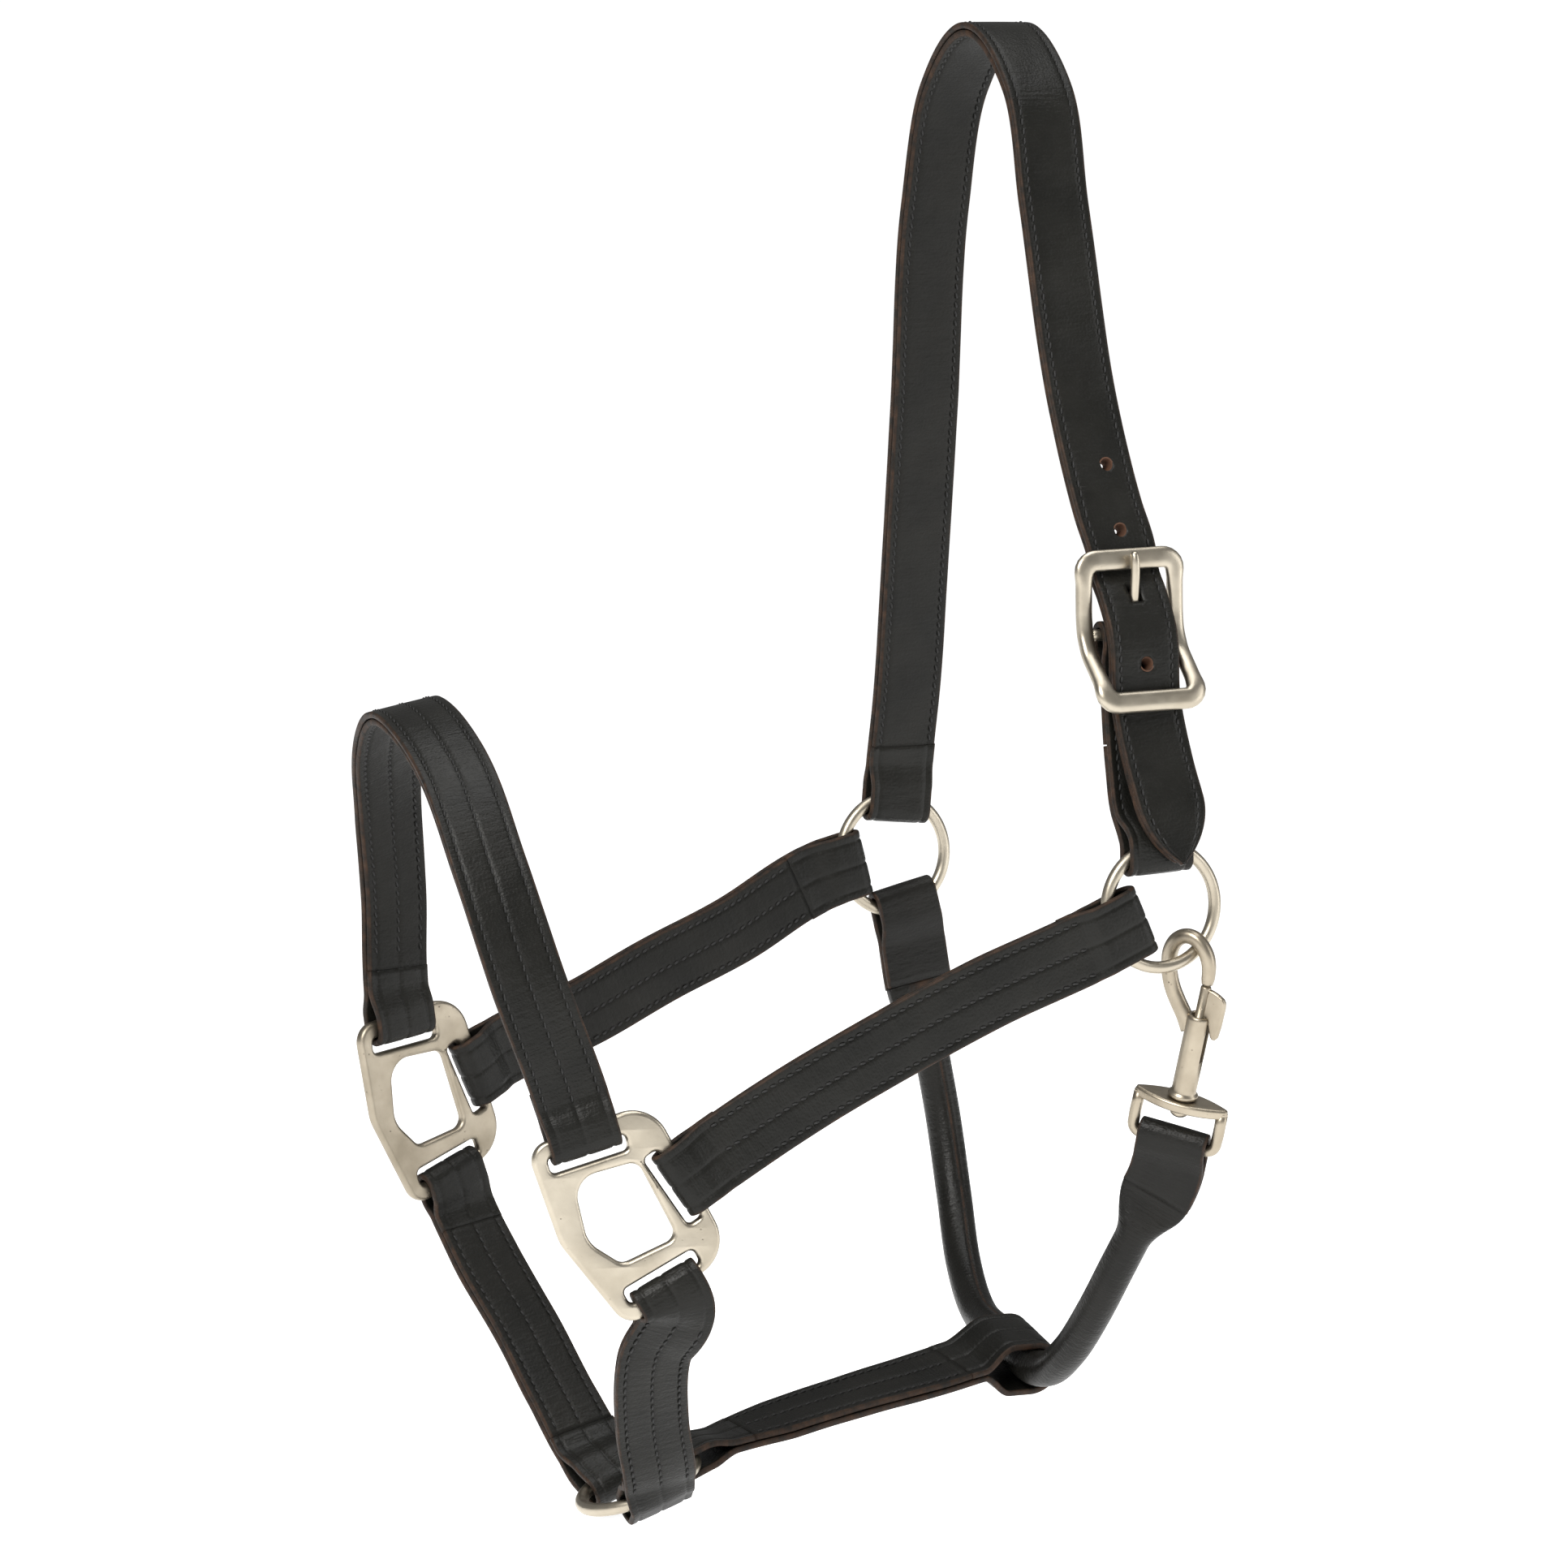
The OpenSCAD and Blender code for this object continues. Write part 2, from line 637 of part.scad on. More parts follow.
module throat_strap() {
    from = 33.6;
    to = throat_total - 23.6;
    count = 50;
    n = 32;
    loops = [
        for (i = [0 : count])
            let (s = mix(from, to, i / count), f = at(throat_curve, s))
            [for (p = rolled_section(s)) f[0] + f[3] * p[0] + f[2] * p[1]]
    ];
    sides = loop_faces(count + 1, n);
    faces = concat(
        strip_end(0, n, true),
        [for (i = [1 : len(sides) - 2]) sides[i]],
        strip_end(count * n, n, false)
    );
    color("#171615") polyhedron(points = [for (l = loops) each l], faces = faces, convexity = 10);
}

module throat_far_end() {
    color("#171615") leather_strip(throat_curve, concat(
        fold_start(ring_end[0], ring_end[1], ring_end[2], 33, ring_end[4]),
        [[33, mid, half_strap]]
    ));
}

module throat_near_end() {
    path = concat(
        fold_start(bar_end[0], bar_end[1], bar_end[2], 23, bar_end[4]),
        [[23, mid, half_strap]]
    );
    color("#171615") leather_strip(throat_curve, flipped(path, throat_total));
}

module throat_core() {
    color("#8a7a62") round_cord(throat_curve, 76, throat_total - 58, cord_radius, 7);
}

// ---- trigger snap: local +X along the eye bar, +Y toward the horse, +Z up the snap ----
module snap_place() {
    multmatrix([for (i = [0 : 2]) [eye_bar[i], snap_in[i], snap_up[i], eye_at[i]]]) children();
}

// turns the hook plane: local -X then points from the bolt to the back of the hook
module hook_plane() {
    rotate([0, 0, -hook_turn]) children();
}

module swivel_eye() {
    color("#a79d87") snap_place() difference() {
        union() {
            rotate([0, 90, 0]) cylinder(r = 2, h = 29.2, center = true);
            for (x = [-14.6, 14.6]) {
                translate([x, 0, 0]) cylinder(r = 2, h = 14.5);
                translate([x, 0, 0]) sphere(2);
                translate([x, 0, 14.5]) sphere(2);
            }
            translate([0, 0, 13]) linear_extrude(3.5) intersection() {
                translate([0, 23]) circle(29);
                translate([0, -23]) circle(29);
                square([30, 14], center = true);
            }
        }
        cylinder(r = 1.8 + swivel_clearance, h = 40, center = true);
    }
}

module swivel_rivet() {
    color("#8f8672") snap_place() {
        translate([0, 0, 9.6]) cylinder(r1 = 2.4, r2 = 3.3, h = 1);
        translate([0, 0, 10.6]) cylinder(r = 3.3, h = 1.8);
        translate([0, 0, 9.6]) cylinder(r = 1.8, h = 10.4);
    }
}

hook_line = [
    [0.1, 59], [-0.1, 62.3], [-0.7, 65.5], [-2.3, 68.8], [-4.9, 71.4], [-8, 72.9], [-11.3, 72.5],
    [-14.2, 70], [-15.6, 65.8], [-15.2, 61], [-14, 57], [-12, 53], [-9, 49], [-5.6, 45], [-3, 41]
];

module hook_wire() {
    c = smooth([for (q = hook_line) [[q[0], 0, q[1]], [0, 1, 0]]], 3);
    round_cord(c, 0, curve_length(c), 2.5, 3);
}

module snap_body() {
    color("#b9af9c") snap_place() hook_plane() difference() {
        union() {
            hook_wire();
            translate([0, 0, 19]) cylinder(r = barrel_radius, h = 28.5);
            translate([0, 0, 16.6]) cylinder(r1 = 4.4, r2 = 5.2, h = 1.2);
            translate([0, 0, 17.8]) cylinder(r1 = 5.2, r2 = barrel_radius, h = 1.2);
        }
        translate([0, 0, 21]) cylinder(r = 2.9, h = 28);
        translate([0, 0, 15]) cylinder(r = 1.8, h = 5);
        translate([0, -1.25, 31]) cube([8, 2.5, 20]);
    }
}

module snap_bolt() {
    color("#b3a994") snap_place() hook_plane() {
        translate([0, 0, 34]) cylinder(r = 2.87, h = 5);
        translate([0, 0, 38]) cylinder(r = bolt_radius, h = 20.3);
        rotate([90, 0, 0]) linear_extrude(2.2, center = true) polygon([
            [1, 46.5], [2.6, 46.8], [4.6, 43.4], [5.4, 41.3], [6.8, 40.6], [8.2, 42.2],
            [8.6, 53.4], [7.9, 55.6], [4.6, 57], [1, 57.6]
        ]);
    }
}

module snap_spring() {
    turns = 5;
    steps = 14;
    color("#9a9a98") snap_place() hook_plane() sweep([
        for (i = [0 : turns * steps])
            let (a = i * 360 / steps, z = 21.45 + 12.1 * i / (turns * steps))
            [for (k = [0 : 5])
                let (r = 2.35 + 0.4 * cos(k * 60))
                [r * cos(a), r * sin(a), z + 0.4 * sin(k * 60)]]
    ]);
}

crown_strap();
crown_lining();
buckle_strap();
buckle_frame();
buckle_tongue();
near_ring();
far_ring();
lead_ring();
near_square();
far_square();
near_cheek_strap();
near_cheek_lining();
far_cheek_strap();
far_cheek_lining();
nose_strap();
nose_lining();
near_chin_strap();
near_chin_lining();
far_chin_strap();
far_chin_lining();
jaw_strap();
jaw_lining();
throat_strap();
throat_far_end();
throat_near_end();
throat_core();
swivel_eye();
swivel_rivet();
snap_body();
snap_bolt();
snap_spring();
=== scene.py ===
"""Looks of the leather headcollar: black two-layer straps with stitching, satin nickel fittings."""

import math

import bmesh
import bpy
import numpy as np
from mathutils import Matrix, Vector


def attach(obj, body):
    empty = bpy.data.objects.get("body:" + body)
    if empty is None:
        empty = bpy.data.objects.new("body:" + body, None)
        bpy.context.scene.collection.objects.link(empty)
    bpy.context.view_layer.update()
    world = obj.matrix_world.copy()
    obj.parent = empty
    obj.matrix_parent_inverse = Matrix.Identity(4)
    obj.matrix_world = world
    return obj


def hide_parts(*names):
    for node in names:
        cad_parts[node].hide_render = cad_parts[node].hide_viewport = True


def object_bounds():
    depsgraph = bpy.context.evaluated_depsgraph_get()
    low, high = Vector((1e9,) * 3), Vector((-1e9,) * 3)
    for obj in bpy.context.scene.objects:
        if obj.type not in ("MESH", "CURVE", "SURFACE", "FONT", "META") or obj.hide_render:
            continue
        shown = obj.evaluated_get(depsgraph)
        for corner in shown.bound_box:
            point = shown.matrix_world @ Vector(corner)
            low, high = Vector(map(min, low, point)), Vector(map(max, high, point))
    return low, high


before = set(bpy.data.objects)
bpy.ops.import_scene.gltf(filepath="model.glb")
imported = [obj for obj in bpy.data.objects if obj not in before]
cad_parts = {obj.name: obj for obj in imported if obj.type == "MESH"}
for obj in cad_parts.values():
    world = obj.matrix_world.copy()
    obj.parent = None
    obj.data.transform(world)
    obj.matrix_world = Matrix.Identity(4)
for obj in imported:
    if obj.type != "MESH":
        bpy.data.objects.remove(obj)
cad_low, cad_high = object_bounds()
MM = 0.001

# ---- sizes in millimetres, the same as the CAD part's ----
HALF = 12.5
HALF_FOLD = 11.75
LEATHER = 2.4
GAP = 0.2
CLEAR = 0.3
MID = (LEATHER + GAP) / 2
ROLL = 6.3
PUNCH = 2.3
PITCH = 23.0
RING_RADIUS = 20.4
RING_WIRE = 2.1
LEAD_RADIUS = 20.5
LEAD_WIRE = 2.3
PLATE = 4.0
SLOT_WIDTH = 5.6
SLOT_LENGTH = 27.0
BAR = 2.0
BARREL = 4.2
BOLT = 1.8
LOOP_START = 13.6
RING_POCKET = RING_WIRE + CLEAR + LEATHER / 2
BAR_POCKET = PLATE / 2 + 2 * CLEAR + LEATHER / 2

# ---- sizes of the looks alone, in millimetres ----
# gap between a fold-back's end and its lining
SEAM = 0.1
LINING_HALF = HALF - 0.3
# step between the rows of a strap's mesh
ROW_STEP = 1.8
# length of one stitch, half its gap to the next, and the thread's radius
STITCH = 3.3
STITCH_GAP = 0.45
THREAD_RADIUS = 0.46
# a thread from end to end: [part of its length, part of its radius, lift]
THREAD_SHAPE = ((0, 0.35, -0.35), (0.16, 0.85, 0.1), (0.5, 1, 0.3), (0.84, 0.85, 0.1), (1, 0.35, -0.35))
# how far a thread is sunk in the leather, and how much it slants and strays to each side
THREAD_SUNK = 0.26
THREAD_SLANT = 0.24
THREAD_STRAY = 0.05
# depth and width of the channel that each row of stitching lies in
CHANNEL_DEPTH = 0.34
CHANNEL_WIDTH = 0.62


def V(*numbers):
    return np.array(numbers, float)


def unit(v):
    return v / np.linalg.norm(v)


def mix(a, b, t):
    return a + (b - a) * t


def ease(t):
    """A smooth step from 0 to 1."""
    return (1 - math.cos(math.pi * t)) / 2


def swell(value, power):
    """A power that keeps the sign; below 1 it squares off a round section."""
    return math.copysign(abs(value) ** power, value)


def arc(x, y, r, start, stop, n):
    """The n + 1 points of an arc, with its angles in degrees."""
    angles = [math.radians(mix(start, stop, i / n)) for i in range(n + 1)]
    return [(x + r * math.cos(a), y + r * math.sin(a)) for a in angles]


NEAR_RING = V(5.4, -103, -290)
FAR_RING = V(5.4, 103, -290)
NEAR_SQUARE = V(-181, -82, -385)
FAR_SQUARE = V(-184, 82, -365.5)
LEAD = V(-140.3, 0, -490)
LEAD_SLOPE = math.radians(22)
BUCKLE = V(2.2, -86, -199.2)
EYE = V(19, -86.5, -371.7)
HOOK_TURN = math.radians(14)
NOSE_SLOT = (106.5, 6.6, 20.1)
CHEEK_SLOT = (34.5, -2, 14.7)
CHIN_SLOT = (-61, 0, 21.5)
NEAR_SIDE = V(0, -1, 0)
FAR_SIDE = V(0, 1, 0)


# ---- curves, as in the CAD part ----
def knot_dir(p, i):
    """The way a curve runs through its knot i."""
    if i == 0:
        return unit(p[1] - p[0])
    if i == len(p) - 1:
        return unit(p[i] - p[i - 1])
    a = p[i] - p[i - 1]
    b = p[i + 1] - p[i]
    return unit(a / a.dot(a) + b / b.dot(b))


def hermite(a, b, da, db, t):
    t2 = t * t
    t3 = t2 * t
    return (2 * t3 - 3 * t2 + 1) * a + (t3 - 2 * t2 + t) * da + (3 * t2 - 2 * t3) * b + (t3 - t2) * db


class Curve:
    """A smooth line through knots of (place, outward normal)."""

    def __init__(self, knots, steps=24):
        p = [np.array(k[0], float) for k in knots]
        n = [np.array(k[1], float) for k in knots]
        d = [knot_dir(p, i) for i in range(len(p))]
        pts = []
        outs = []
        last = len(p) - 1
        for i in range(last):
            chord = np.linalg.norm(p[i + 1] - p[i])
            for j in range(steps + 1 if i == last - 1 else steps):
                t = j / steps
                pts.append(hermite(p[i], p[i + 1], d[i] * chord, d[i + 1] * chord, t))
                outs.append(mix(n[i], n[i + 1], t))
        self.pts = np.array(pts)
        self.outs = np.array(outs)
        steps_long = np.linalg.norm(np.diff(self.pts, axis=0), axis=1)
        self.s = np.concatenate([[0], np.cumsum(steps_long)])
        self.total = self.s[-1]
        n = len(pts) - 1
        self.dirs = np.array([unit(self.pts[min(i + 1, n)] - self.pts[max(i - 1, 0)]) for i in range(n + 1)])

    def at(self, s):
        """The place at length s, with the directions along, out of and across the strap."""
        i = int(np.clip(np.searchsorted(self.s, s, side="right") - 1, 0, len(self.s) - 2))
        t = (s - self.s[i]) / (self.s[i + 1] - self.s[i])
        u = min(max(t, 0), 1)
        along = unit(mix(self.dirs[i], self.dirs[i + 1], u))
        place = mix(self.pts[i], self.pts[i + 1], u) + along * ((t - u) * (self.s[i + 1] - self.s[i]))
        raw = mix(self.outs[i], self.outs[i + 1], u)
        out = unit(raw - raw.dot(along) * along)
        return place, along, out, np.cross(along, out)


def on_ring(centre, angle, r):
    a = math.radians(angle)
    return centre + r * V(math.cos(a), 0, math.sin(a))


def yaw_of(side):
    return math.radians(12 if side < 0 else 14)


def roll_of(side):
    return math.radians(0 if side < 0 else 8)


def on_square(side, x, z, y=0.0):
    """A point of a square's plate: x to the rear, z up, y outward."""
    r = roll_of(side)
    w = yaw_of(side)
    u = x * math.cos(r) + z * math.sin(r)
    v = z * math.cos(r) - x * math.sin(r)
    centre = NEAR_SQUARE if side < 0 else FAR_SQUARE
    return centre + V(u * math.cos(w), side * u * math.sin(w), v) + plate_out(side) * y


def plate_out(side):
    w = yaw_of(side)
    return V(-math.sin(w), side * math.cos(w), 0)


def at_slot(side, slot, run):
    """The middle of the strap round a slot's outer bar, run mm out from the slot."""
    r = slot[2] + SLOT_WIDTH - 0.95 + run
    a = math.radians(slot[0])
    return on_square(
        side,
        r * math.cos(a) - slot[1] * math.sin(a),
        r * math.sin(a) + slot[1] * math.cos(a),
    )


BUCKLE_UP = unit(BUCKLE - NEAR_RING)
BUCKLE_OUT = unit(NEAR_SIDE - NEAR_SIDE.dot(BUCKLE_UP) * BUCKLE_UP)
BUCKLE_ACROSS = np.cross(BUCKLE_UP, BUCKLE_OUT)


def by_buckle(u, v, w=0.0):
    return BUCKLE + u * BUCKLE_UP + v * BUCKLE_OUT + w * BUCKLE_ACROSS


LEAD_AHEAD = V(math.cos(LEAD_SLOPE), 0, math.sin(LEAD_SLOPE))
LEAD_AXIS = V(-math.sin(LEAD_SLOPE), 0, math.cos(LEAD_SLOPE))
SNAP_UP = unit(V(0.033, -0.346, 0.9375))
RAW_BAR = V(0.748, -0.6167, -0.2454)
EYE_BAR = unit(RAW_BAR - RAW_BAR.dot(SNAP_UP) * SNAP_UP)
SNAP_IN = np.cross(SNAP_UP, EYE_BAR)
HOOK_X = math.cos(HOOK_TURN) * EYE_BAR - math.sin(HOOK_TURN) * SNAP_IN
HOOK_Y = math.sin(HOOK_TURN) * EYE_BAR + math.cos(HOOK_TURN) * SNAP_IN


def by_eye(x, y, z):
    return EYE + x * EYE_BAR + y * SNAP_IN + z * SNAP_UP


def by_hook(x, y, z):
    return EYE + x * HOOK_X + y * HOOK_Y + z * SNAP_UP


def lead_dir(angle):
    a = math.radians(angle)
    return math.cos(a) * LEAD_AHEAD + math.sin(a) * V(0, 1, 0)


SLANT = math.radians(30)


def chin_dir(angle):
    return math.cos(SLANT) * lead_dir(angle) + math.sin(SLANT) * LEAD_AXIS


def chin_out(angle):
    return math.sin(SLANT) * lead_dir(angle) - math.cos(SLANT) * LEAD_AXIS


def chin_end_at(angle, run):
    return LEAD + LEAD_RADIUS * lead_dir(angle) + (run - 7.6) * chin_dir(angle) - 0.9 * chin_out(angle)


CROWN = Curve([
    (on_ring(FAR_RING, 86, LOOP_START), FAR_SIDE),
    ((7.4, 103, -264), FAR_SIDE),
    ((6.4, 93, -228), (0, 0.97, 0.22)),
    ((3, 81, -192), (0, 0.97, 0.22)),
    ((-1.8, 63, -129), (0, 0.97, 0.22)),
    ((-5.8, 46, -57), (0, 0.95, 0.3)),
    ((-5.4, 32, -17), (0, 0.85, 0.55)),
    ((-6, 0, 2.6), (0, 0, 1)),
    ((-6.2, -32, -17), (0, -0.85, 0.55)),
    ((-6.6, -46, -57), (0, -0.95, 0.3)),
    ((-3, -62, -126), (0, -0.97, 0.22)),
    (by_buckle(42, -2, -2), (0, -0.97, 0.22)),
    (by_buckle(27, 0.2), BUCKLE_OUT),
    (by_buckle(20.5, 0.5), BUCKLE_OUT),
    (by_buckle(12, 4.4), BUCKLE_OUT),
    (by_buckle(0, 8.4), BUCKLE_OUT),
    (by_buckle(-24, 5.7), BUCKLE_OUT),
    (by_buckle(-46, 7.6, 1.2), BUCKLE_OUT),
    (by_buckle(-62, 11.6, 1.9), BUCKLE_OUT),
    (by_buckle(-80, 12.6, 3), BUCKLE_OUT),
])
CHAPE = Curve([
    (on_ring(NEAR_RING, 96, LOOP_START), NEAR_SIDE),
    (on_ring(NEAR_RING, 95, 24), NEAR_SIDE),
    (by_buckle(-60, 1, -1.8), BUCKLE_OUT),
    (by_buckle(-45, 0, -1.5), BUCKLE_OUT),
    (by_buckle(-14, 0), BUCKLE_OUT),
    (by_buckle(BAR + CLEAR, 0), BUCKLE_OUT),
])
NEAR_CHEEK = Curve([
    (on_ring(NEAR_RING, 205, LOOP_START - 4.6), NEAR_SIDE),
    (on_ring(NEAR_RING, 204, 27), NEAR_SIDE),
    ((-59.5, -101, -316.6), NEAR_SIDE),
    ((-91.8, -98, -332), NEAR_SIDE),
    ((-125, -93, -350), (-0.1, -1, 0)),
    (at_slot(-1, CHEEK_SLOT, 14), plate_out(-1)),
    (at_slot(-1, CHEEK_SLOT, 0), plate_out(-1)),
])
FAR_CHEEK = Curve([
    (on_ring(FAR_RING, 191, LOOP_START), FAR_SIDE),
    (on_ring(FAR_RING, 193, 27), FAR_SIDE),
    ((-59.7, 100, -315.2), FAR_SIDE),
    ((-89.5, 96, -326.8), FAR_SIDE),
    ((-119.5, 92, -340), (-0.1, 1, 0)),
    (at_slot(1, CHEEK_SLOT, 14), plate_out(1)),
    (at_slot(1, CHEEK_SLOT, 0), plate_out(1)),
])
NOSE = Curve([
    (at_slot(-1, NOSE_SLOT, 0), plate_out(-1)),
    (at_slot(-1, NOSE_SLOT, 14), plate_out(-1)),
    ((-214.3, -77, -306), (-0.2, -0.96, 0.1)),
    ((-222, -66, -272), (-0.2, -0.88, 0.36)),
    ((-224, -42, -242), (-0.2, -0.62, 0.75)),
    ((-223.5, 0, -224.3), (-0.2, 0, 1)),
    ((-214, 42, -238.6), (-0.2, 0.62, 0.75)),
    ((-204, 66, -262.2), (-0.2, 0.88, 0.36)),
    ((-197.5, 77, -293.7), (-0.2, 0.96, 0.1)),
    (at_slot(1, NOSE_SLOT, 14), plate_out(1)),
    (at_slot(1, NOSE_SLOT, 0), plate_out(1)),
])
NEAR_CHIN = Curve([
    (at_slot(-1, CHIN_SLOT, 0), plate_out(-1)),
    (at_slot(-1, CHIN_SLOT, 8), plate_out(-1)),
    ((-165.2, -69, -435.4), (-0.15, -0.85, -0.5)),
    ((-157.8, -50.5, -460.8), (-0.03, -0.75, -0.65)),
    (chin_end_at(-97, 22), (0.05, -0.65, -0.75)),
    (chin_end_at(-97, 10), chin_out(-97)),
    (chin_end_at(-97, 0), chin_out(-97)),
])
FAR_CHIN = Curve([
    (at_slot(1, CHIN_SLOT, 0), plate_out(1)),
    (at_slot(1, CHIN_SLOT, 11), plate_out(1)),
    ((-165, 75, -420), (-0.1, 0.95, -0.3)),
    ((-155, 60, -445.5), (0, 0.8, -0.6)),
    ((-149.5, 44, -466), (0, 0.75, -0.65)),
    (chin_end_at(93, 11), chin_out(93)),
    (chin_end_at(93, 0), chin_out(93)),
])
JAW = Curve([
    (LEAD + 13.7 * LEAD_AHEAD, -LEAD_AXIS),
    (LEAD + 28 * LEAD_AHEAD, -LEAD_AXIS),
    ((-88, 0, -472.5), (0.2, 0.2, -0.95)),
    ((-58, 1, -466), (0.15, 0.26, -0.95)),
    ((-30, 3, -461), (0.1, 0.3, -0.94)),
    ((-8, 7.2, -457.6), (0, 0.3, -0.95)),
    ((16.2, 7.8, -457), (0, 0.3, -0.95)),
])
THROAT = Curve([
    (on_ring(FAR_RING, 284, LOOP_START), FAR_SIDE),
    (on_ring(FAR_RING, 284, 26), FAR_SIDE),
    ((15, 103, -334), FAR_SIDE),
    ((20, 103, -358), FAR_SIDE),
    ((24, 100, -385), FAR_SIDE),
    ((24, 91, -412), FAR_SIDE),
    ((19.4, 74, -434), (0, 0.9, -0.4)),
    ((13.1, 48, -448.6), (0, 0.5, -0.85)),
    ((9.3, 21, -453.2), (0, 0.2, -1)),
    ((8.6, 8, -457), (0, 0.1, -1)),
    ((8.4, -4, -459.9), (0, 0, -1)),
    ((8.6, -13, -459.2), (0, -0.1, -1)),
    ((7.5, -32, -450.5), (-0.1, -0.5, -0.85)),
    ((8, -50, -434.3), (-0.3, -0.6, -0.6)),
    ((10.6, -63, -416.5), -SNAP_IN),
    ((14.4, -73.4, -399.5), -SNAP_IN),
    (EYE - 13 * SNAP_UP, -SNAP_IN),
    (EYE + 3.4 * SNAP_UP, -SNAP_IN),
])


# ---- meshes ----
def add_mesh(name, verts, faces, material, body, replaces=(), uvs=None, marks=None):
    """Makes a piece from millimetre points; marks are named numbers for each point."""
    mesh = bpy.data.meshes.new(name)
    mesh.from_pydata([tuple(float(c) * MM for c in v) for v in verts], [], faces)
    mesh.update()
    if uvs is not None:
        layer = mesh.uv_layers.new(name="strap")
        flat = np.array([uvs[loop.vertex_index] for loop in mesh.loops], float).ravel()
        layer.data.foreach_set("uv", flat)
    for key, values in (marks or {}).items():
        attribute = mesh.attributes.new(key, "FLOAT", "POINT")
        attribute.data.foreach_set("value", np.array(values, np.float32))
    mesh.polygons.foreach_set("use_smooth", [True] * len(mesh.polygons))
    mesh.materials.append(material)
    piece = bpy.data.objects.new(name, mesh)
    bpy.context.scene.collection.objects.link(piece)
    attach(piece, body)
    if replaces:
        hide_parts(*replaces)
    return piece


def grid_faces(rings, n, closed_ends=True):
    """Faces of a tube made of rings with n points each."""
    faces = []
    for r in range(rings - 1):
        for k in range(n):
            a = r * n + k
            b = r * n + (k + 1) % n
            faces.append((a, b, b + n, a + n))
    if closed_ends:
        faces.append(tuple(range(n - 1, -1, -1)))
        faces.append(tuple((rings - 1) * n + k for k in range(n)))
    return faces


def closing_faces(rings, n):
    """Faces that join the last ring of a tube to its first."""
    base = (rings - 1) * n
    return [(base + k, base + (k + 1) % n, (k + 1) % n, k) for k in range(n)]


def outward(mesh, merge=0):
    """Turns every face outward; points closer than merge metres become one."""
    work = bmesh.new()
    work.from_mesh(mesh)
    if merge:
        bmesh.ops.remove_doubles(work, verts=work.verts, dist=merge)
    bmesh.ops.recalc_face_normals(work, faces=work.faces)
    work.to_mesh(mesh)
    work.free()


# ---- strap paths: rows of [length, height, half width] ----
def fold_start(pocket, straight, close, back, w):
    """A fold round a bar: from its loose end, round the pocket and out along the strap."""
    path = []
    steps = max(2, int((back - close) / 2))
    for i in range(steps):
        path.append((mix(back, close, i / steps), -MID, HALF))
    for i in range(13):
        t = i / 12
        path.append((mix(close, straight, t), -mix(MID, pocket, ease(t)), mix(HALF, w, t)))
    for i in range(1, 5):
        path.append((mix(straight, pocket, i / 5), -pocket, w))
    for i in range(25):
        a = math.radians(270 - 180 * i / 24)
        path.append((pocket - LEATHER / 2 + pocket * math.cos(a), pocket * math.sin(a), w))
    for i in range(1, 5):
        path.append((mix(pocket, straight, i / 5), pocket, w))
    for i in range(13):
        t = i / 12
        path.append((mix(straight, close, t), mix(pocket, MID, ease(t)), mix(w, HALF, t)))
    return path


def flipped(path, total):
    """The same path at the other end of a strap."""
    return [(total - q[0], q[1], q[2]) for q in reversed(path)]


def run_between(start, stop, height, half=HALF):
    """The rows between two places on a strap."""
    count = max(1, round((stop - start) / ROW_STEP))
    return [(mix(start, stop, i / count), height, half) for i in range(1, count)]


# ---- strap ends: (pocket, straight, close, loose end, half width in the fold) ----
RING_END = (RING_POCKET, 9.5, 20, 26, HALF_FOLD)
LOOSE_END = (RING_POCKET, 14.5, 23, 28, HALF_FOLD)
SLOT_END = (BAR_POCKET, 7.5, 17, 23, HALF - 0.5)
CHIN_END = (4.9, 12, 23, 28, HALF_FOLD)
LEAD_END = (LEAD_WIRE + CLEAR + LEATHER / 2, 10, 21, 27, HALF_FOLD)
JAW_END = (ROLL + 1.3 + LEATHER / 2, 16, 30, 36, HALF)
BAR_END = (BAR + CLEAR + LEATHER / 2, 5, 13, 20, HALF - 0.5)


def face_path(total, first, second):
    middle = run_between(first[2], total - second[2], MID)
    return fold_start(*first) + middle + flipped(fold_start(*second), total)


def lining_path(total, first, second):
    start = first[3] + SEAM
    stop = total - second[3] - SEAM
    middle = run_between(start, stop, -MID, LINING_HALF)
    return [(start, -MID, LINING_HALF)] + middle + [(stop, -MID, LINING_HALF)]


# ---- a leather: a rounded section with sewing channels, swept along a path ----
def section_points(half, rows, rim=0.95):
    """Points round a leather's section: (across, up, edge) from the outer face round to the inner."""
    full = HALF - rim
    stops = set(np.linspace(-full, full, 13).tolist())
    for r in rows:
        for d in (-0.9, -0.45, 0, 0.45, 0.9):
            stops.add(r + d)
    rim = min(rim, half * 0.5)
    wide = half - rim
    stops = sorted(stops)
    xs = [x * wide / full for x in stops]
    t = LEATHER / 2
    top = []
    for x, place in zip(xs, stops):
        dip = sum(CHANNEL_DEPTH * math.exp(-(((place - r) / CHANNEL_WIDTH) ** 2)) for r in rows)
        crown = 0.10 * (1 - (place / HALF) ** 2)
        top.append((x, t - 0.10 + crown - dip, 0.0))
    right = []
    for i in range(1, 8):
        a = math.radians(90 - 180 * i / 8)
        x = wide + rim * swell(math.cos(a), 0.75)
        right.append((x, t * 0.96 * swell(math.sin(a), 0.8), 1.0))
    bottom = [(x, -(t - 0.06), 0.0) for x in reversed(xs[::2] if len(xs) % 2 else xs)]
    left = [(-p[0], p[1], 1.0) for p in reversed(right)]
    return top + right + bottom + left


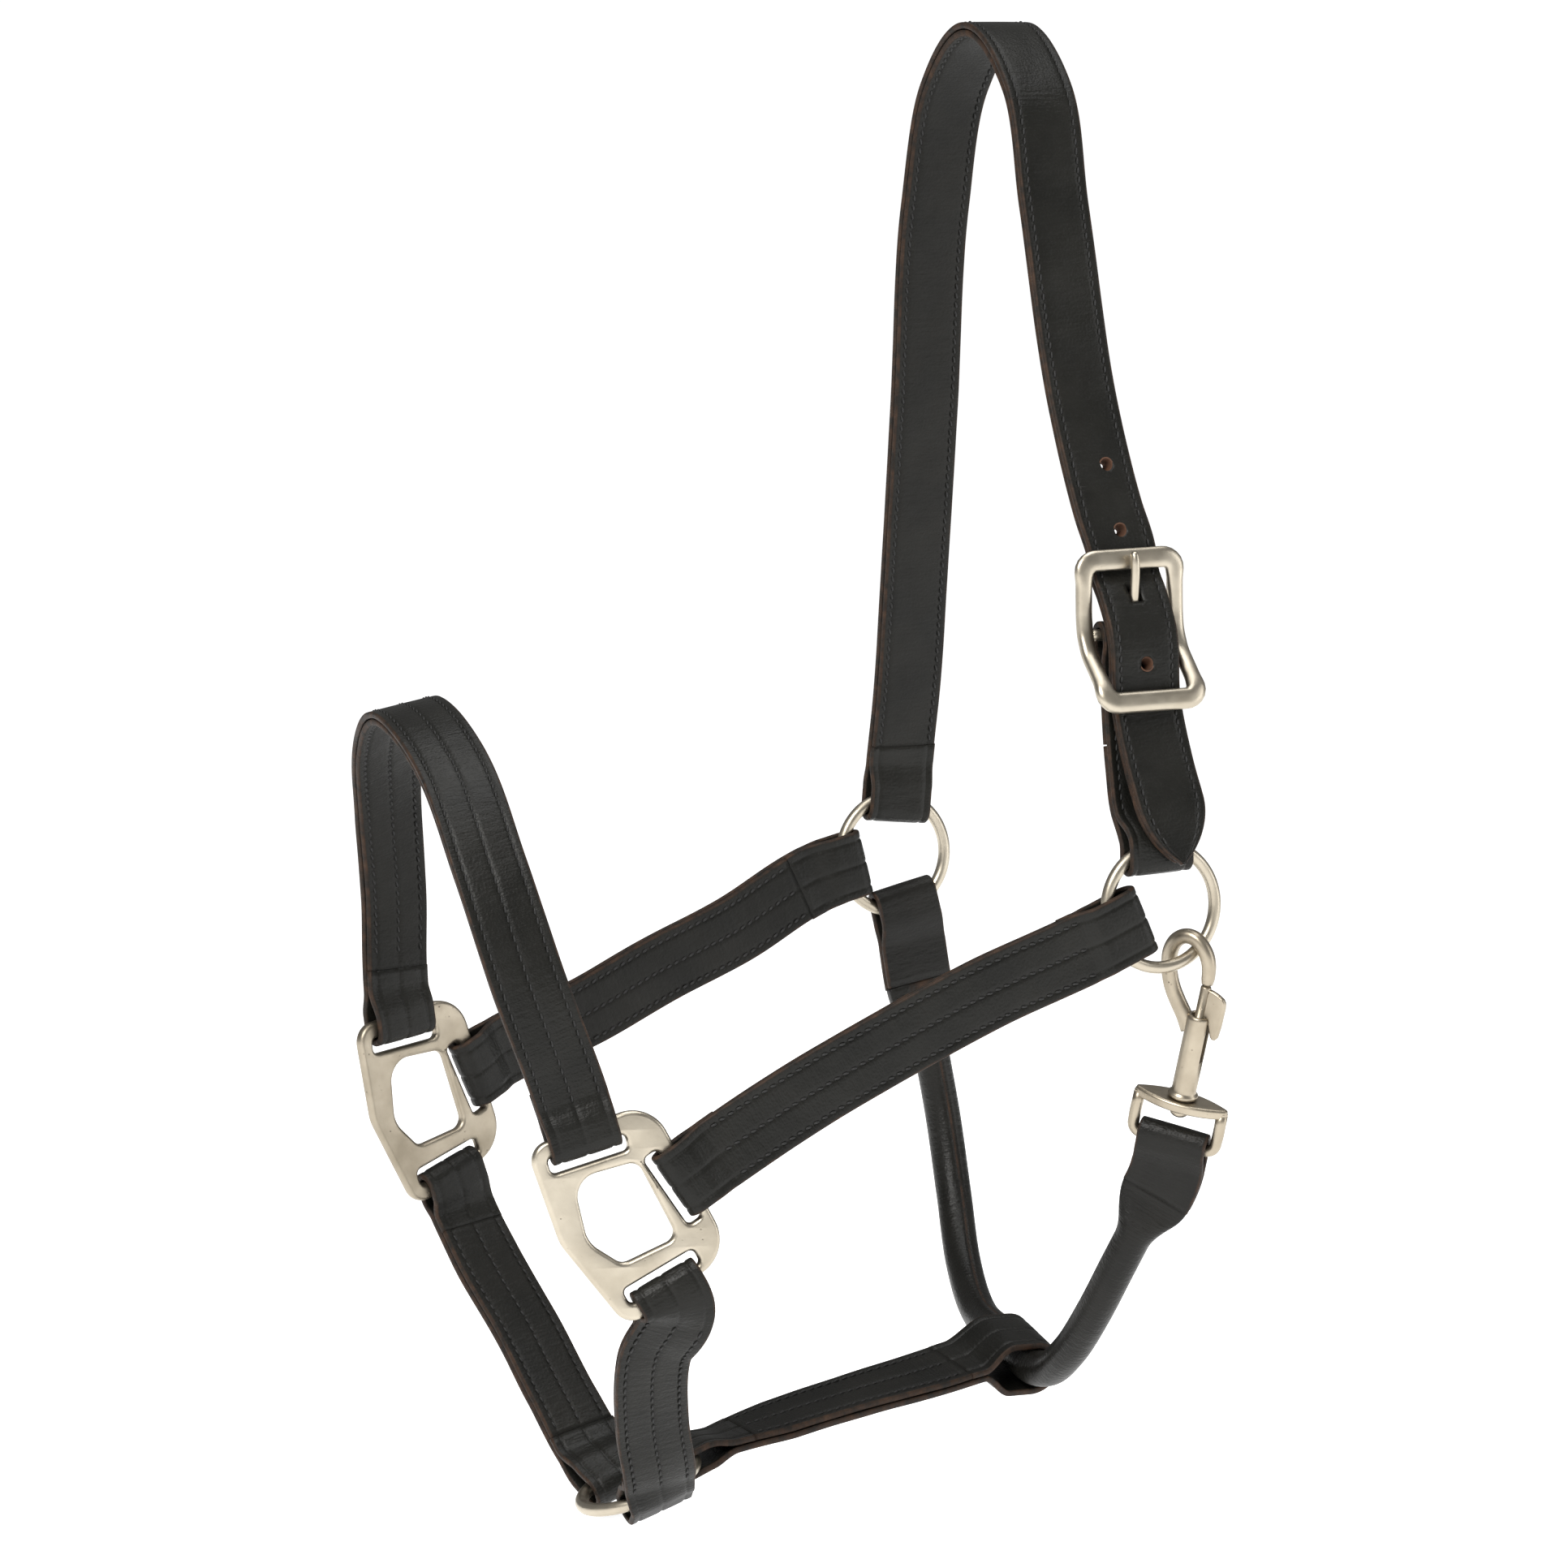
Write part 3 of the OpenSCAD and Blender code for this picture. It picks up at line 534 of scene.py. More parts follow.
def leather(name, curve, path, rows, body, material, wave, seed, inside=False):
    """Sweeps a leather along a path; the rows of stitching run at those distances from its middle."""
    rng = np.random.default_rng(seed)
    flip = -1 if inside else 1
    verts = []
    uvs = []
    edge = []
    bend = []
    length = 0.0
    previous = None
    phase = rng.uniform(0, 6, 4)
    for i, (s, height, half) in enumerate(path):
        place, along, out, across = curve.at(s)
        a = path[max(i - 1, 0)]
        b = path[min(i + 1, len(path) - 1)]
        d = unit(V(b[0] - a[0], b[1] - a[1]))
        thick = d[0] * out - d[1] * along
        centre = place + out * height
        if previous is not None:
            length += np.linalg.norm(centre - previous)
        previous = centre
        turn = 1.0 - abs(d[0])
        ripple = wave * (
            math.sin(length * 0.11 + phase[0]) + 0.6 * math.sin(length * 0.27 + phase[1])
        )
        side = wave * 0.8 * math.sin(length * 0.09 + phase[2])
        for x, y, e in section_points(half, rows):
            sideways = x + side * (x / half) * 0.3
            up = flip * y + ripple * 0.25 * (x / half)
            verts.append(centre + across * sideways + thick * up)
            uvs.append((length * MM * 10, x * MM * 10))
            edge.append(e)
            bend.append(min(1.0, turn * 1.6))
    n = len(section_points(HALF, rows))
    faces = grid_faces(len(path), n)
    if inside:
        faces = [tuple(reversed(f)) for f in faces]
    marks = {"edge": edge, "bend": bend}
    piece = add_mesh(name, verts, faces, material, body, [name], uvs, marks)
    outward(piece.data)
    return piece


# ---- stitches: short slanted threads half sunk in their channel ----
def thread(start, stop, up):
    """The points of one stitch, six round at each place of its shape."""
    along = stop - start
    size = np.linalg.norm(along)
    along = along / size
    side = np.cross(along, up)
    rings = []
    for t, r, lift in THREAD_SHAPE:
        c = start + along * (size * t) + up * (THREAD_RADIUS * lift)
        for k in range(6):
            a = k * math.pi / 3
            wide = THREAD_RADIUS * r * math.cos(a)
            high = THREAD_RADIUS * r * math.sin(a)
            rings.append(c + side * wide + up * high)
    return rings


def stitches(name, curve, spans, body, side, seed):
    """spans are (row function or number, from, to); side 1 sews the outer face, -1 the inner one."""
    rng = np.random.default_rng(seed)
    verts = []
    faces = []
    level = side * (MID + LEATHER / 2 - THREAD_SUNK)
    for row, start, stop in spans:
        count = max(1, int((stop - start) / STITCH))
        for i in range(count):
            s0 = start + i * STITCH + STITCH_GAP
            s1 = s0 + STITCH - 2 * STITCH_GAP
            ends = []
            for s, slant in ((s0, -THREAD_SLANT), (s1, THREAD_SLANT)):
                place, along, out, across = curve.at(s)
                x = row(s) if callable(row) else row
                x = x + slant + rng.normal(0, THREAD_STRAY)
                ends.append(place + out * level + across * x)
            out = curve.at((s0 + s1) / 2)[2] * side
            base = len(verts)
            verts.extend(thread(ends[0], ends[1], out))
            for f in grid_faces(len(THREAD_SHAPE), 6):
                faces.append(tuple(base + q for q in f))
    return add_mesh(name, verts, faces, THREAD, body)


# ---- metal ----
def tube(points, radii, sides, up, power=1.0, closed=False):
    """Points and faces of a tube through points; radii may be (wide, thick) pairs."""
    pts = [np.array(p, float) for p in points]
    n = len(pts)
    verts = []
    for i, p in enumerate(pts):
        if closed:
            d = unit(pts[(i + 1) % n] - pts[i - 1])
        else:
            d = unit(pts[min(i + 1, n - 1)] - pts[max(i - 1, 0)])
        a = unit(up - up.dot(d) * d)
        b = np.cross(d, a)
        r = radii[i] if hasattr(radii, "__len__") else radii
        ra, rb = (r, r) if not hasattr(r, "__len__") else r
        for k in range(sides):
            t = 2 * math.pi * k / sides
            verts.append(p + a * (ra * swell(math.cos(t), power)) + b * (rb * swell(math.sin(t), power)))
    faces = grid_faces(n, sides, closed_ends=not closed)
    if closed:
        faces += closing_faces(n, sides)
    return verts, faces


def smooth_line(points, steps):
    """A smooth row of points through a few given ones."""
    p = [np.array(q, float) for q in points]
    d = [knot_dir(p, i) for i in range(len(p))]
    out = []
    for i in range(len(p) - 1):
        chord = np.linalg.norm(p[i + 1] - p[i])
        for j in range(steps):
            out.append(hermite(p[i], p[i + 1], d[i] * chord, d[i + 1] * chord, j / steps))
    out.append(p[-1])
    return out


def join(parts):
    """Several (points, faces) pairs as one."""
    verts = []
    faces = []
    for v, f in parts:
        base = len(verts)
        verts.extend(v)
        faces.extend(tuple(base + q for q in face) for face in f)
    return verts, faces


def revolve(profile, frame_at, sides=40, closed_ends=True):
    """Turns (radius, height) points round an axis; frame_at(x, y, z) gives a place."""
    verts = []
    for r, z in profile:
        for k in range(sides):
            a = 2 * math.pi * k / sides
            verts.append(frame_at(r * math.cos(a), r * math.sin(a), z))
    return verts, grid_faces(len(profile), sides, closed_ends)


def revolve_loop(profile, frame_at, sides):
    """The same for a closed profile, which leaves a bore."""
    verts, faces = revolve(profile, frame_at, sides, closed_ends=False)
    return verts, faces + closing_faces(len(profile), sides)


def wire_ring(centre, u, v, radius, wire, seed):
    """A round ring, a little uneven, with one faint joint in its wire."""
    rng = np.random.default_rng(seed)
    phase = rng.uniform(0, 6, 3)
    verts = []
    rings = 180
    sides = 28
    n = np.cross(u, v)
    for i in range(rings):
        a = 2 * math.pi * i / rings
        d = u * math.cos(a) + v * math.sin(a)
        r = radius + 0.05 * math.sin(2 * a + phase[0])
        w = wire * (1 + 0.012 * math.sin(5 * a + phase[1]) - 0.03 * math.exp(-((a - 1.1) / 0.05) ** 2))
        for k in range(sides):
            t = 2 * math.pi * k / sides
            verts.append(centre + d * (r + w * math.cos(t)) + n * (w * math.sin(t)))
    return verts, grid_faces(rings, sides, closed_ends=False) + closing_faces(rings, sides)


# ---- flat castings from outlines, with rounded edges ----
def circle_points(x, y, r, n=48):
    return [(x + r * math.cos(2 * math.pi * i / n), y + r * math.sin(2 * math.pi * i / n)) for i in range(n)]


def hull(points):
    """The outline round a set of points."""
    pts = sorted(set((round(a, 5), round(b, 5)) for a, b in points))

    def turn(o, a, b):
        return (a[0] - o[0]) * (b[1] - o[1]) - (a[1] - o[1]) * (b[0] - o[0])

    low = []
    for p in pts:
        while len(low) > 1 and turn(low[-2], low[-1], p) <= 0:
            low.pop()
        low.append(p)
    high = []
    for p in reversed(pts):
        while len(high) > 1 and turn(high[-2], high[-1], p) <= 0:
            high.pop()
        high.append(p)
    return low[:-1] + high[:-1]


def hull_of(circles, n=64):
    points = []
    for x, y, r in circles:
        points += circle_points(x, y, r, n)
    return hull(points)


def even(outline, step=0.6):
    """The same closed outline, with points at even distances."""
    pts = [np.array(p) for p in outline]
    pts.append(pts[0])
    gaps = [np.linalg.norm(pts[i + 1] - pts[i]) for i in range(len(pts) - 1)]
    lengths = np.concatenate([[0], np.cumsum(gaps)])
    count = max(12, int(lengths[-1] / step))
    places = np.linspace(0, lengths[-1], count, endpoint=False)
    xs = np.interp(places, lengths, [p[0] for p in pts])
    ys = np.interp(places, lengths, [p[1] for p in pts])
    return list(zip(xs, ys))


def casting(name, outlines, thick, bevel, place, material, body, replaces=()):
    """A plate with holes and rounded edges; the first outline is the outside one."""
    data = bpy.data.curves.new(name, "CURVE")
    data.dimensions = "2D"
    data.fill_mode = "BOTH"
    data.extrude = thick / 2 - bevel
    data.bevel_depth = bevel
    data.bevel_resolution = 5
    data.offset = -bevel
    for outline in outlines:
        spline = data.splines.new("POLY")
        pts = even(outline)
        spline.points.add(len(pts) - 1)
        for i, (x, y) in enumerate(pts):
            spline.points[i].co = (x, y, 0, 1)
        spline.use_cyclic_u = True
    shape = bpy.data.objects.new(name + "_shape", data)
    bpy.context.scene.collection.objects.link(shape)
    bpy.context.view_layer.update()
    graph = bpy.context.evaluated_depsgraph_get()
    mesh = bpy.data.meshes.new_from_object(shape.evaluated_get(graph))
    verts = [place(v.co.x, v.co.y, v.co.z) for v in mesh.vertices]
    faces = [tuple(p.vertices) for p in mesh.polygons]
    bpy.data.objects.remove(shape)
    bpy.data.curves.remove(data)
    piece = add_mesh(name, verts, faces, material, body, replaces)
    outward(piece.data, merge=0.00001)


def cut(piece, tool):
    """Cuts one mesh out of a piece."""
    modifier = piece.modifiers.new("cut", "BOOLEAN")
    modifier.operation = "DIFFERENCE"
    modifier.solver = "EXACT"
    modifier.object = tool
    bpy.context.view_layer.update()
    graph = bpy.context.evaluated_depsgraph_get()
    shape = piece.evaluated_get(graph)
    mesh = bpy.data.meshes.new_from_object(shape, preserve_all_data_layers=True, depsgraph=graph)
    piece.modifiers.remove(modifier)
    old = piece.data
    piece.data = mesh
    bpy.data.meshes.remove(old)
    mesh.polygons.foreach_set("use_smooth", [True] * len(mesh.polygons))


def bore(pieces, outline, low, high, place):
    """Cuts an outline, placed from low to high, through pieces."""
    n = len(outline)
    verts = [place(x, y, low) for x, y in outline] + [place(x, y, high) for x, y in outline]
    faces = [tuple(range(n)), tuple(range(2 * n - 1, n - 1, -1))]
    for k in range(n):
        faces.append((k, (k + 1) % n, n + (k + 1) % n, n + k))
    mesh = bpy.data.meshes.new("tool")
    mesh.from_pydata([tuple(float(c) * MM for c in v) for v in verts], [], faces)
    outward(mesh)
    tool = bpy.data.objects.new("tool", mesh)
    bpy.context.scene.collection.objects.link(tool)
    for piece in pieces:
        cut(piece, tool)
    bpy.data.objects.remove(tool)


# ---- materials ----
def node(tree, kind, **settings):
    made = tree.nodes.new(kind)
    for key, value in settings.items():
        setattr(made, key, value)
    return made


def fresh(name):
    material = bpy.data.materials.new(name)
    material.use_nodes = True
    tree = material.node_tree
    return material, tree, tree.nodes["Principled BSDF"]


def ramp(tree, source, stops):
    made = node(tree, "ShaderNodeValToRGB")
    made.color_ramp.elements[0].position = stops[0][0]
    made.color_ramp.elements[0].color = (*stops[0][1], 1)
    made.color_ramp.elements[1].position = stops[-1][0]
    made.color_ramp.elements[1].color = (*stops[-1][1], 1)
    for at, colour in stops[1:-1]:
        element = made.color_ramp.elements.new(at)
        element.color = (*colour, 1)
    tree.links.new(source, made.inputs["Fac"])
    return made.outputs["Color"]


def noise(tree, vector, scale, detail=4.0, rough=0.55):
    made = node(tree, "ShaderNodeTexNoise")
    made.inputs["Scale"].default_value = scale
    made.inputs["Detail"].default_value = detail
    made.inputs["Roughness"].default_value = rough
    tree.links.new(vector, made.inputs["Vector"])
    return made.outputs["Fac"]


def maths(tree, operation, a, b):
    made = node(tree, "ShaderNodeMath", operation=operation)
    for socket, value in zip(made.inputs, (a, b)):
        if isinstance(value, (int, float)):
            socket.default_value = value
        else:
            tree.links.new(value, socket)
    return made.outputs[0]


def blend_colour(tree, amount, a, b):
    made = node(tree, "ShaderNodeMix", data_type="RGBA")
    tree.links.new(amount, made.inputs[0])
    for socket, value in ((made.inputs[6], a), (made.inputs[7], b)):
        if isinstance(value, tuple):
            socket.default_value = (*value, 1)
        else:
            tree.links.new(value, socket)
    return made.outputs[2]


def bump(tree, height, strength, distance, normal=None):
    made = node(tree, "ShaderNodeBump")
    made.inputs["Strength"].default_value = strength
    made.inputs["Distance"].default_value = distance
    tree.links.new(height, made.inputs["Height"])
    if normal is not None:
        tree.links.new(normal, made.inputs["Normal"])
    return made.outputs["Normal"]


def leather_colour(tree, place, edge, dark, light):
    """Nearly black in broad, faint tones, with a hint of raw brown at the edges."""
    face = ramp(tree, noise(tree, place, 45.0, 3.0), [(0.3, dark), (0.7, light)])
    browns = [(0.35, (0.018, 0.012, 0.009)), (0.62, (0.075, 0.036, 0.019)), (0.8, (0.13, 0.068, 0.036))]
    raw = ramp(tree, noise(tree, place, 260.0), browns)
    return blend_colour(tree, maths(tree, "MULTIPLY", edge, 0.4), face, raw)


def leather_grain(tree, place, grain):
    """Soft waves, wrinkles across the strap, most where it bends, and small cells with pores."""
    strap = node(tree, "ShaderNodeUVMap", uv_map="strap").outputs["UV"]
    bend = node(tree, "ShaderNodeAttribute", attribute_name="bend").outputs["Fac"]
    cells = node(tree, "ShaderNodeTexVoronoi", feature="SMOOTH_F1")
    cells.inputs["Scale"].default_value = 1100.0
    cells.inputs["Smoothness"].default_value = 0.6
    tree.links.new(place, cells.inputs["Vector"])
    pores = maths(tree, "MULTIPLY", noise(tree, place, 900.0, 5.0, 0.6), 0.8)
    grained = maths(tree, "ADD", cells.outputs["Distance"], pores)
    stretch = node(tree, "ShaderNodeMapping")
    stretch.inputs["Scale"].default_value = (1.0, 0.16, 1.0)
    tree.links.new(strap, stretch.inputs["Vector"])
    wrinkle = noise(tree, stretch.outputs["Vector"], 62.0, 4.0, 0.62)
    amount = maths(tree, "ADD", maths(tree, "MULTIPLY", bend, 0.9), 0.42)
    waves = bump(tree, noise(tree, place, 38.0, 2.0), 0.5, 0.0016)
    wrinkled = bump(tree, maths(tree, "MULTIPLY", wrinkle, amount), 0.75, 0.0009, waves)
    return bump(tree, grained, 0.4 * grain, 0.0002, wrinkled)


def leather_material(name, dark, light, rough, grain=1.0):
    material, tree, shader = fresh(name)
    place = node(tree, "ShaderNodeTexCoord").outputs["Object"]
    edge = node(tree, "ShaderNodeAttribute", attribute_name="edge").outputs["Fac"]
    tree.links.new(leather_colour(tree, place, edge, dark, light), shader.inputs["Base Color"])
    spread = maths(tree, "MULTIPLY", noise(tree, place, 120.0), 0.22)
    level = maths(tree, "ADD", spread, rough - 0.11)
    level = maths(tree, "ADD", level, maths(tree, "MULTIPLY", edge, 0.2))
    tree.links.new(level, shader.inputs["Roughness"])
    tree.links.new(leather_grain(tree, place, grain), shader.inputs["Normal"])
    shader.inputs["Specular IOR Level"].default_value = 0.2
    return material


def metal_material(name, base, shade, rough, pits=0.35):
    """Satin metal with faint tones, and dark pits in a few places."""
    material, tree, shader = fresh(name)
    place = node(tree, "ShaderNodeTexCoord").outputs["Object"]
    broad = noise(tree, place, 70.0, 4.0)
    fine = noise(tree, place, 1500.0, 4.0, 0.65)
    colour = ramp(tree, broad, [(0.3, shade), (0.68, base)])
    spots = node(tree, "ShaderNodeTexVoronoi", feature="F1")
    spots.inputs["Scale"].default_value = 330.0
    tree.links.new(place, spots.inputs["Vector"])
    gate = noise(tree, place, 110.0, 3.0)
    near_spot = ramp(tree, spots.outputs["Distance"], [(0.0, (1, 1, 1)), (0.13, (0, 0, 0))])
    where = ramp(tree, gate, [(0.56 - 0.08 * pits, (0, 0, 0)), (0.66 - 0.08 * pits, (1, 1, 1))])
    pit = maths(tree, "MULTIPLY", near_spot, where)
    dark = blend_colour(tree, maths(tree, "MULTIPLY", pit, 0.75), colour, (0.09, 0.075, 0.055))
    tree.links.new(dark, shader.inputs["Base Color"])
    shader.inputs["Metallic"].default_value = 1.0
    wear = noise(tree, place, 240.0, 5.0)
    level = maths(tree, "ADD", maths(tree, "MULTIPLY", wear, 0.2), rough - 0.1)
    tree.links.new(maths(tree, "ADD", level, maths(tree, "MULTIPLY", pit, 0.3)), shader.inputs["Roughness"])
    lumps = bump(tree, noise(tree, place, 160.0, 3.0), 0.18, 0.0004)
    grain = bump(tree, fine, 0.16, 0.00006, lumps)
    hollow = maths(tree, "SUBTRACT", 1.0, pit)
    tree.links.new(bump(tree, hollow, 0.6, 0.00025, grain), shader.inputs["Normal"])
    return material


def plain_material(name, colour, rough, metallic=0.0):
    material, tree, shader = fresh(name)
    place = node(tree, "ShaderNodeTexCoord").outputs["Object"]
    spread = noise(tree, place, 700.0, 3.0)
    low = tuple(c * 0.75 for c in colour)
    tree.links.new(ramp(tree, spread, [(0.3, low), (0.7, colour)]), shader.inputs["Base Color"])
    shader.inputs["Roughness"].default_value = rough
    shader.inputs["Metallic"].default_value = metallic
    tree.links.new(bump(tree, spread, 0.3, 0.0001), shader.inputs["Normal"])
    return material


FACE = leather_material("black_leather", (0.0055, 0.0055, 0.0045), (0.0105, 0.0102, 0.0085), 0.40)
LINING = leather_material("lining_leather", (0.0050, 0.0050, 0.0040), (0.0095, 0.0090, 0.0072), 0.50, 1.2)
ROLLED = leather_material("rolled_leather", (0.0055, 0.0053, 0.0044), (0.0100, 0.0095, 0.0080), 0.38)
RAW = plain_material("raw_leather", (0.085, 0.036, 0.017), 0.8)
THREAD = plain_material("black_thread", (0.0035, 0.0033, 0.0030), 0.6)
NICKEL = metal_material("satin_nickel", (0.50, 0.452, 0.368), (0.40, 0.356, 0.282), 0.36)
WORN = metal_material("worn_nickel", (0.38, 0.335, 0.265), (0.26, 0.225, 0.17), 0.42, 1.6)
BRASSY = metal_material("snap_nickel", (0.42, 0.37, 0.29), (0.32, 0.275, 0.21), 0.38, 0.6)
WIRE = plain_material("spring_wire", (0.55, 0.55, 0.55), 0.35, 1.0)

NOSE_BODY = "nose_and_throat"
HEAD_BODY = "headpiece"
THREE_ROWS = (-9.3, 0.0, 9.3)
TWO_ROWS = (-9.6, 9.6)


# ---- flat straps ----
def strap_pair(name, curve, first, second, seed):
    """A face leather folded at both ends, its lining, and the stitches on both."""
    total = curve.total
    path = face_path(total, first, second)
    leather(name + "_strap", curve, path, THREE_ROWS, NOSE_BODY, FACE, 0.28, seed)
    path = lining_path(total, first, second)
    leather(name + "_lining", curve, path, THREE_ROWS, NOSE_BODY, LINING, 0.28, seed, inside=True)
    outer = [(row, first[2] - 1, total - second[2] + 1) for row in THREE_ROWS]
    inner = [(row, first[3] + 2, total - second[3] - 2) for row in THREE_ROWS]
    stitches(name + "_face_stitches", curve, outer, NOSE_BODY, 1, seed)
    stitches(name + "_lining_stitches", curve, inner, NOSE_BODY, -1, seed + 50)


strap_pair("near_cheek", NEAR_CHEEK, LOOSE_END, SLOT_END, 11)
strap_pair("far_cheek", FAR_CHEEK, RING_END, SLOT_END, 12)
strap_pair("nose", NOSE, SLOT_END, SLOT_END, 13)
strap_pair("near_chin", NEAR_CHIN, SLOT_END, CHIN_END, 14)
strap_pair("far_chin", FAR_CHIN, SLOT_END, CHIN_END, 15)
strap_pair("jaw", JAW, LEAD_END, JAW_END, 16)


# ---- crown ----
BILLET = 22.0
# the punched holes, in pitches up from the buckle's bar, and how far the strap lies out there
HOLES = [(-0.5, 7.5), (1.5, -0.5), (2.5, -2.5)]
# the slanted hole of the tongue, as (inward, up) points
TONGUE_HOLE = [(-0.9, 3), (-4.2, 0.2), (-13.2, 21.5), (-13.6, 27), (-7.2, 27), (-7.2, 22.6)]


def billet_half(s):
    """Half the crown's width, which narrows to a point at the billet's tip."""
    t = (s - (CROWN.total - BILLET)) / BILLET
    if t <= 0:
        return HALF
    return HALF * max(0.06, (1 - min(t, 1) ** 2) ** 0.85)


def crown_rows():
    run_to = CROWN.total - BILLET
    tip = [run_to + BILLET * i / 20 for i in range(1, 21)]
    return run_to, tip


def buckle_frame_at(x, y, z):
    """Local +X across, +Y inward and +Z up the strap, at the buckle."""
    return BUCKLE + x * BUCKLE_ACROSS - y * BUCKLE_OUT + z * BUCKLE_UP


def make_crown():
    run_to, tip = crown_rows()
    path = fold_start(*RING_END)
    path += run_between(RING_END[2], run_to, MID)
    path += [(run_to, MID, HALF)] + [(s, MID, billet_half(s)) for s in tip]
    face = leather("crown_strap", CROWN, path, TWO_ROWS, HEAD_BODY, FACE, 0.12, 21)
    start = RING_END[3] + SEAM
    path = [(start, -MID, LINING_HALF)] + run_between(start, run_to, -MID, LINING_HALF)
    path += [(run_to, -MID, LINING_HALF)] + [(s, -MID, billet_half(s) - 0.3) for s in tip[:-1]]
    lining = leather("crown_lining", CROWN, path, TWO_ROWS, HEAD_BODY, LINING, 0.12, 21, inside=True)

    def near_edge(s):
        return TWO_ROWS[0] * billet_half(s + 1.5) / HALF

    def far_edge(s):
        return -near_edge(s)

    stop = CROWN.total - 4.5
    outer = [(near_edge, 21, stop), (far_edge, 21, stop)]
    stitches("crown_face_stitches", CROWN, outer, HEAD_BODY, 1, 31)
    inner = [(near_edge, start + 1, stop), (far_edge, start + 1, stop)]
    stitches("crown_lining_stitches", CROWN, inner, HEAD_BODY, -1, 32)
    for pitches, out in HOLES:

        def pin(x, y, t, z=pitches * PITCH, out=out):
            return buckle_frame_at(x, -out - t, z + y)

        bore([face, lining], circle_points(0, 0, PUNCH, 28), -8, 8, pin)

    def slanted(a, b, t):
        return buckle_frame_at(t, a, b)

    bore([face, lining], TONGUE_HOLE, -2.3, 2.3, slanted)
    hole_walls([pitches * PITCH for pitches, out in HOLES])


def crown_at_height(z):
    """The middle of the crown at a height above the buckle's bar."""

    def miss(s):
        return abs((CROWN.at(s)[0] - BUCKLE).dot(BUCKLE_UP) - z)

    near_half = [s for s in np.arange(0, CROWN.total, 0.5) if s > CROWN.total / 2]
    place = CROWN.at(min(near_half, key=miss))[0]
    return place - BUCKLE_ACROSS * (place - BUCKLE).dot(BUCKLE_ACROSS)


def hole_walls(heights):
    """The raw brown leather inside each punched hole, which closes up toward the back."""
    profile = [
        (PUNCH + 0.35, 2.28), (PUNCH + 0.1, 2.42), (PUNCH - 0.12, 2.3), (PUNCH - 0.22, 1.2),
        (PUNCH - 0.9, -1.2), (PUNCH - 1.45, -2.2), (PUNCH + 0.3, -2.3),
    ]
    parts = []
    for z in heights:

        def wall(x, y, t, centre=crown_at_height(z)):
            return centre + BUCKLE_ACROSS * x + BUCKLE_UP * y + BUCKLE_OUT * t

        parts.append(revolve(profile, wall, 32, closed_ends=False))
    verts, faces = join(parts)
    add_mesh("crown_hole_walls", verts, faces, RAW, HEAD_BODY)


make_crown()


# ---- chape: the short strap that holds the buckle to the near ring ----
def make_chape():
    total = CHAPE.total
    back = total / 2 + 1
    path = fold_start(RING_END[0], RING_END[1], RING_END[2], back, RING_END[4])
    path += run_between(RING_END[2], total - BAR_END[2], MID)
    path += flipped(fold_start(BAR_END[0], BAR_END[1], BAR_END[2], total - back - 0.6, BAR_END[4]), total)
    piece = leather("buckle_strap", CHAPE, path, TWO_ROWS, HEAD_BODY, FACE, 0.0, 22)

    def through(x, y, t):
        return buckle_frame_at(x, t, y)

    bore([piece], [(-3, -4.6), (3, -4.6), (3, 7.4), (-3, 7.4)], -9, 9, through)
    spans = [(row, 20, total - 15) for row in TWO_ROWS]
    stitches("buckle_strap_stitches", CHAPE, spans, HEAD_BODY, 1, 33)
    stitches("buckle_strap_back_stitches", CHAPE, spans, HEAD_BODY, -1, 34)


make_chape()


# ---- rolled throat ----
def throat_section(s):
    """Half width, half height, squareness and part rolled of the throat at length s."""
    a = min(max((s - 34) / 28, 0), 1)
    b = min(max((THROAT.total - 24 - s) / 20, 0), 1)
    t = ease(min(a, b))
    return mix(HALF - 0.2, ROLL, t), mix(LEATHER + 0.05, ROLL, t), mix(0.35, 1, t), t


def throat_end(name, end, back, stop, seed, near):
    """A flat fold of the throat: its loose end stops at back, and the roll takes over at stop."""
    path = fold_start(end[0], end[1], end[2], back, end[4])
    path += run_between(end[2], stop, MID) + [(stop, MID, HALF)]
    if near:
        path = flipped(path, THROAT.total)
    leather(name, THROAT, path, (), NOSE_BODY, ROLLED, 0.1, seed)


def make_throat():
    """The roll, creased where it flattens, with a sewn seam along its inner side."""
    start = 33.6
    stop = THROAT.total - 23.6
    sides = 56
    verts = []
    uvs = []
    edge = []
    bend = []
    count = int((stop - start) / 1.5)
    for i in range(count + 1):
        s = mix(start, stop, i / count)
        place, along, out, across = THROAT.at(s)
        w, h, power, t = throat_section(s)
        crease = math.sin(math.pi * t) * 0.35
        for k in range(sides):
            a = 2 * math.pi * k / sides - math.pi / 2
            x = w * swell(math.cos(a), power)
            y = h * swell(math.sin(a), power)
            seam = 0.45 * math.exp(-((k if k < sides / 2 else sides - k) / 0.8) ** 2)
            pull = crease * math.sin(x * 1.1 + s * 0.35) * 0.5
            shrink = 1 - seam / max(math.hypot(x, y), 1)
            verts.append(place + across * (x * shrink) + out * (y * shrink + pull * 0.6))
            uvs.append((s * MM * 10, k * 0.7 * MM * 10))
            edge.append(1.0 if seam > 0.2 else 0.0)
            bend.append(math.sin(math.pi * t))
    faces = grid_faces(count + 1, sides)
    marks = {"edge": edge, "bend": bend}
    name = "throat_strap"
    roll = add_mesh(name, verts, faces, ROLLED, NOSE_BODY, [name], uvs, marks)
    outward(roll.data)
    throat_end("throat_far_end", RING_END, 33.4, 34.5, 41, near=False)
    throat_end("throat_near_end", BAR_END, 23.5, 24.2, 42, near=True)


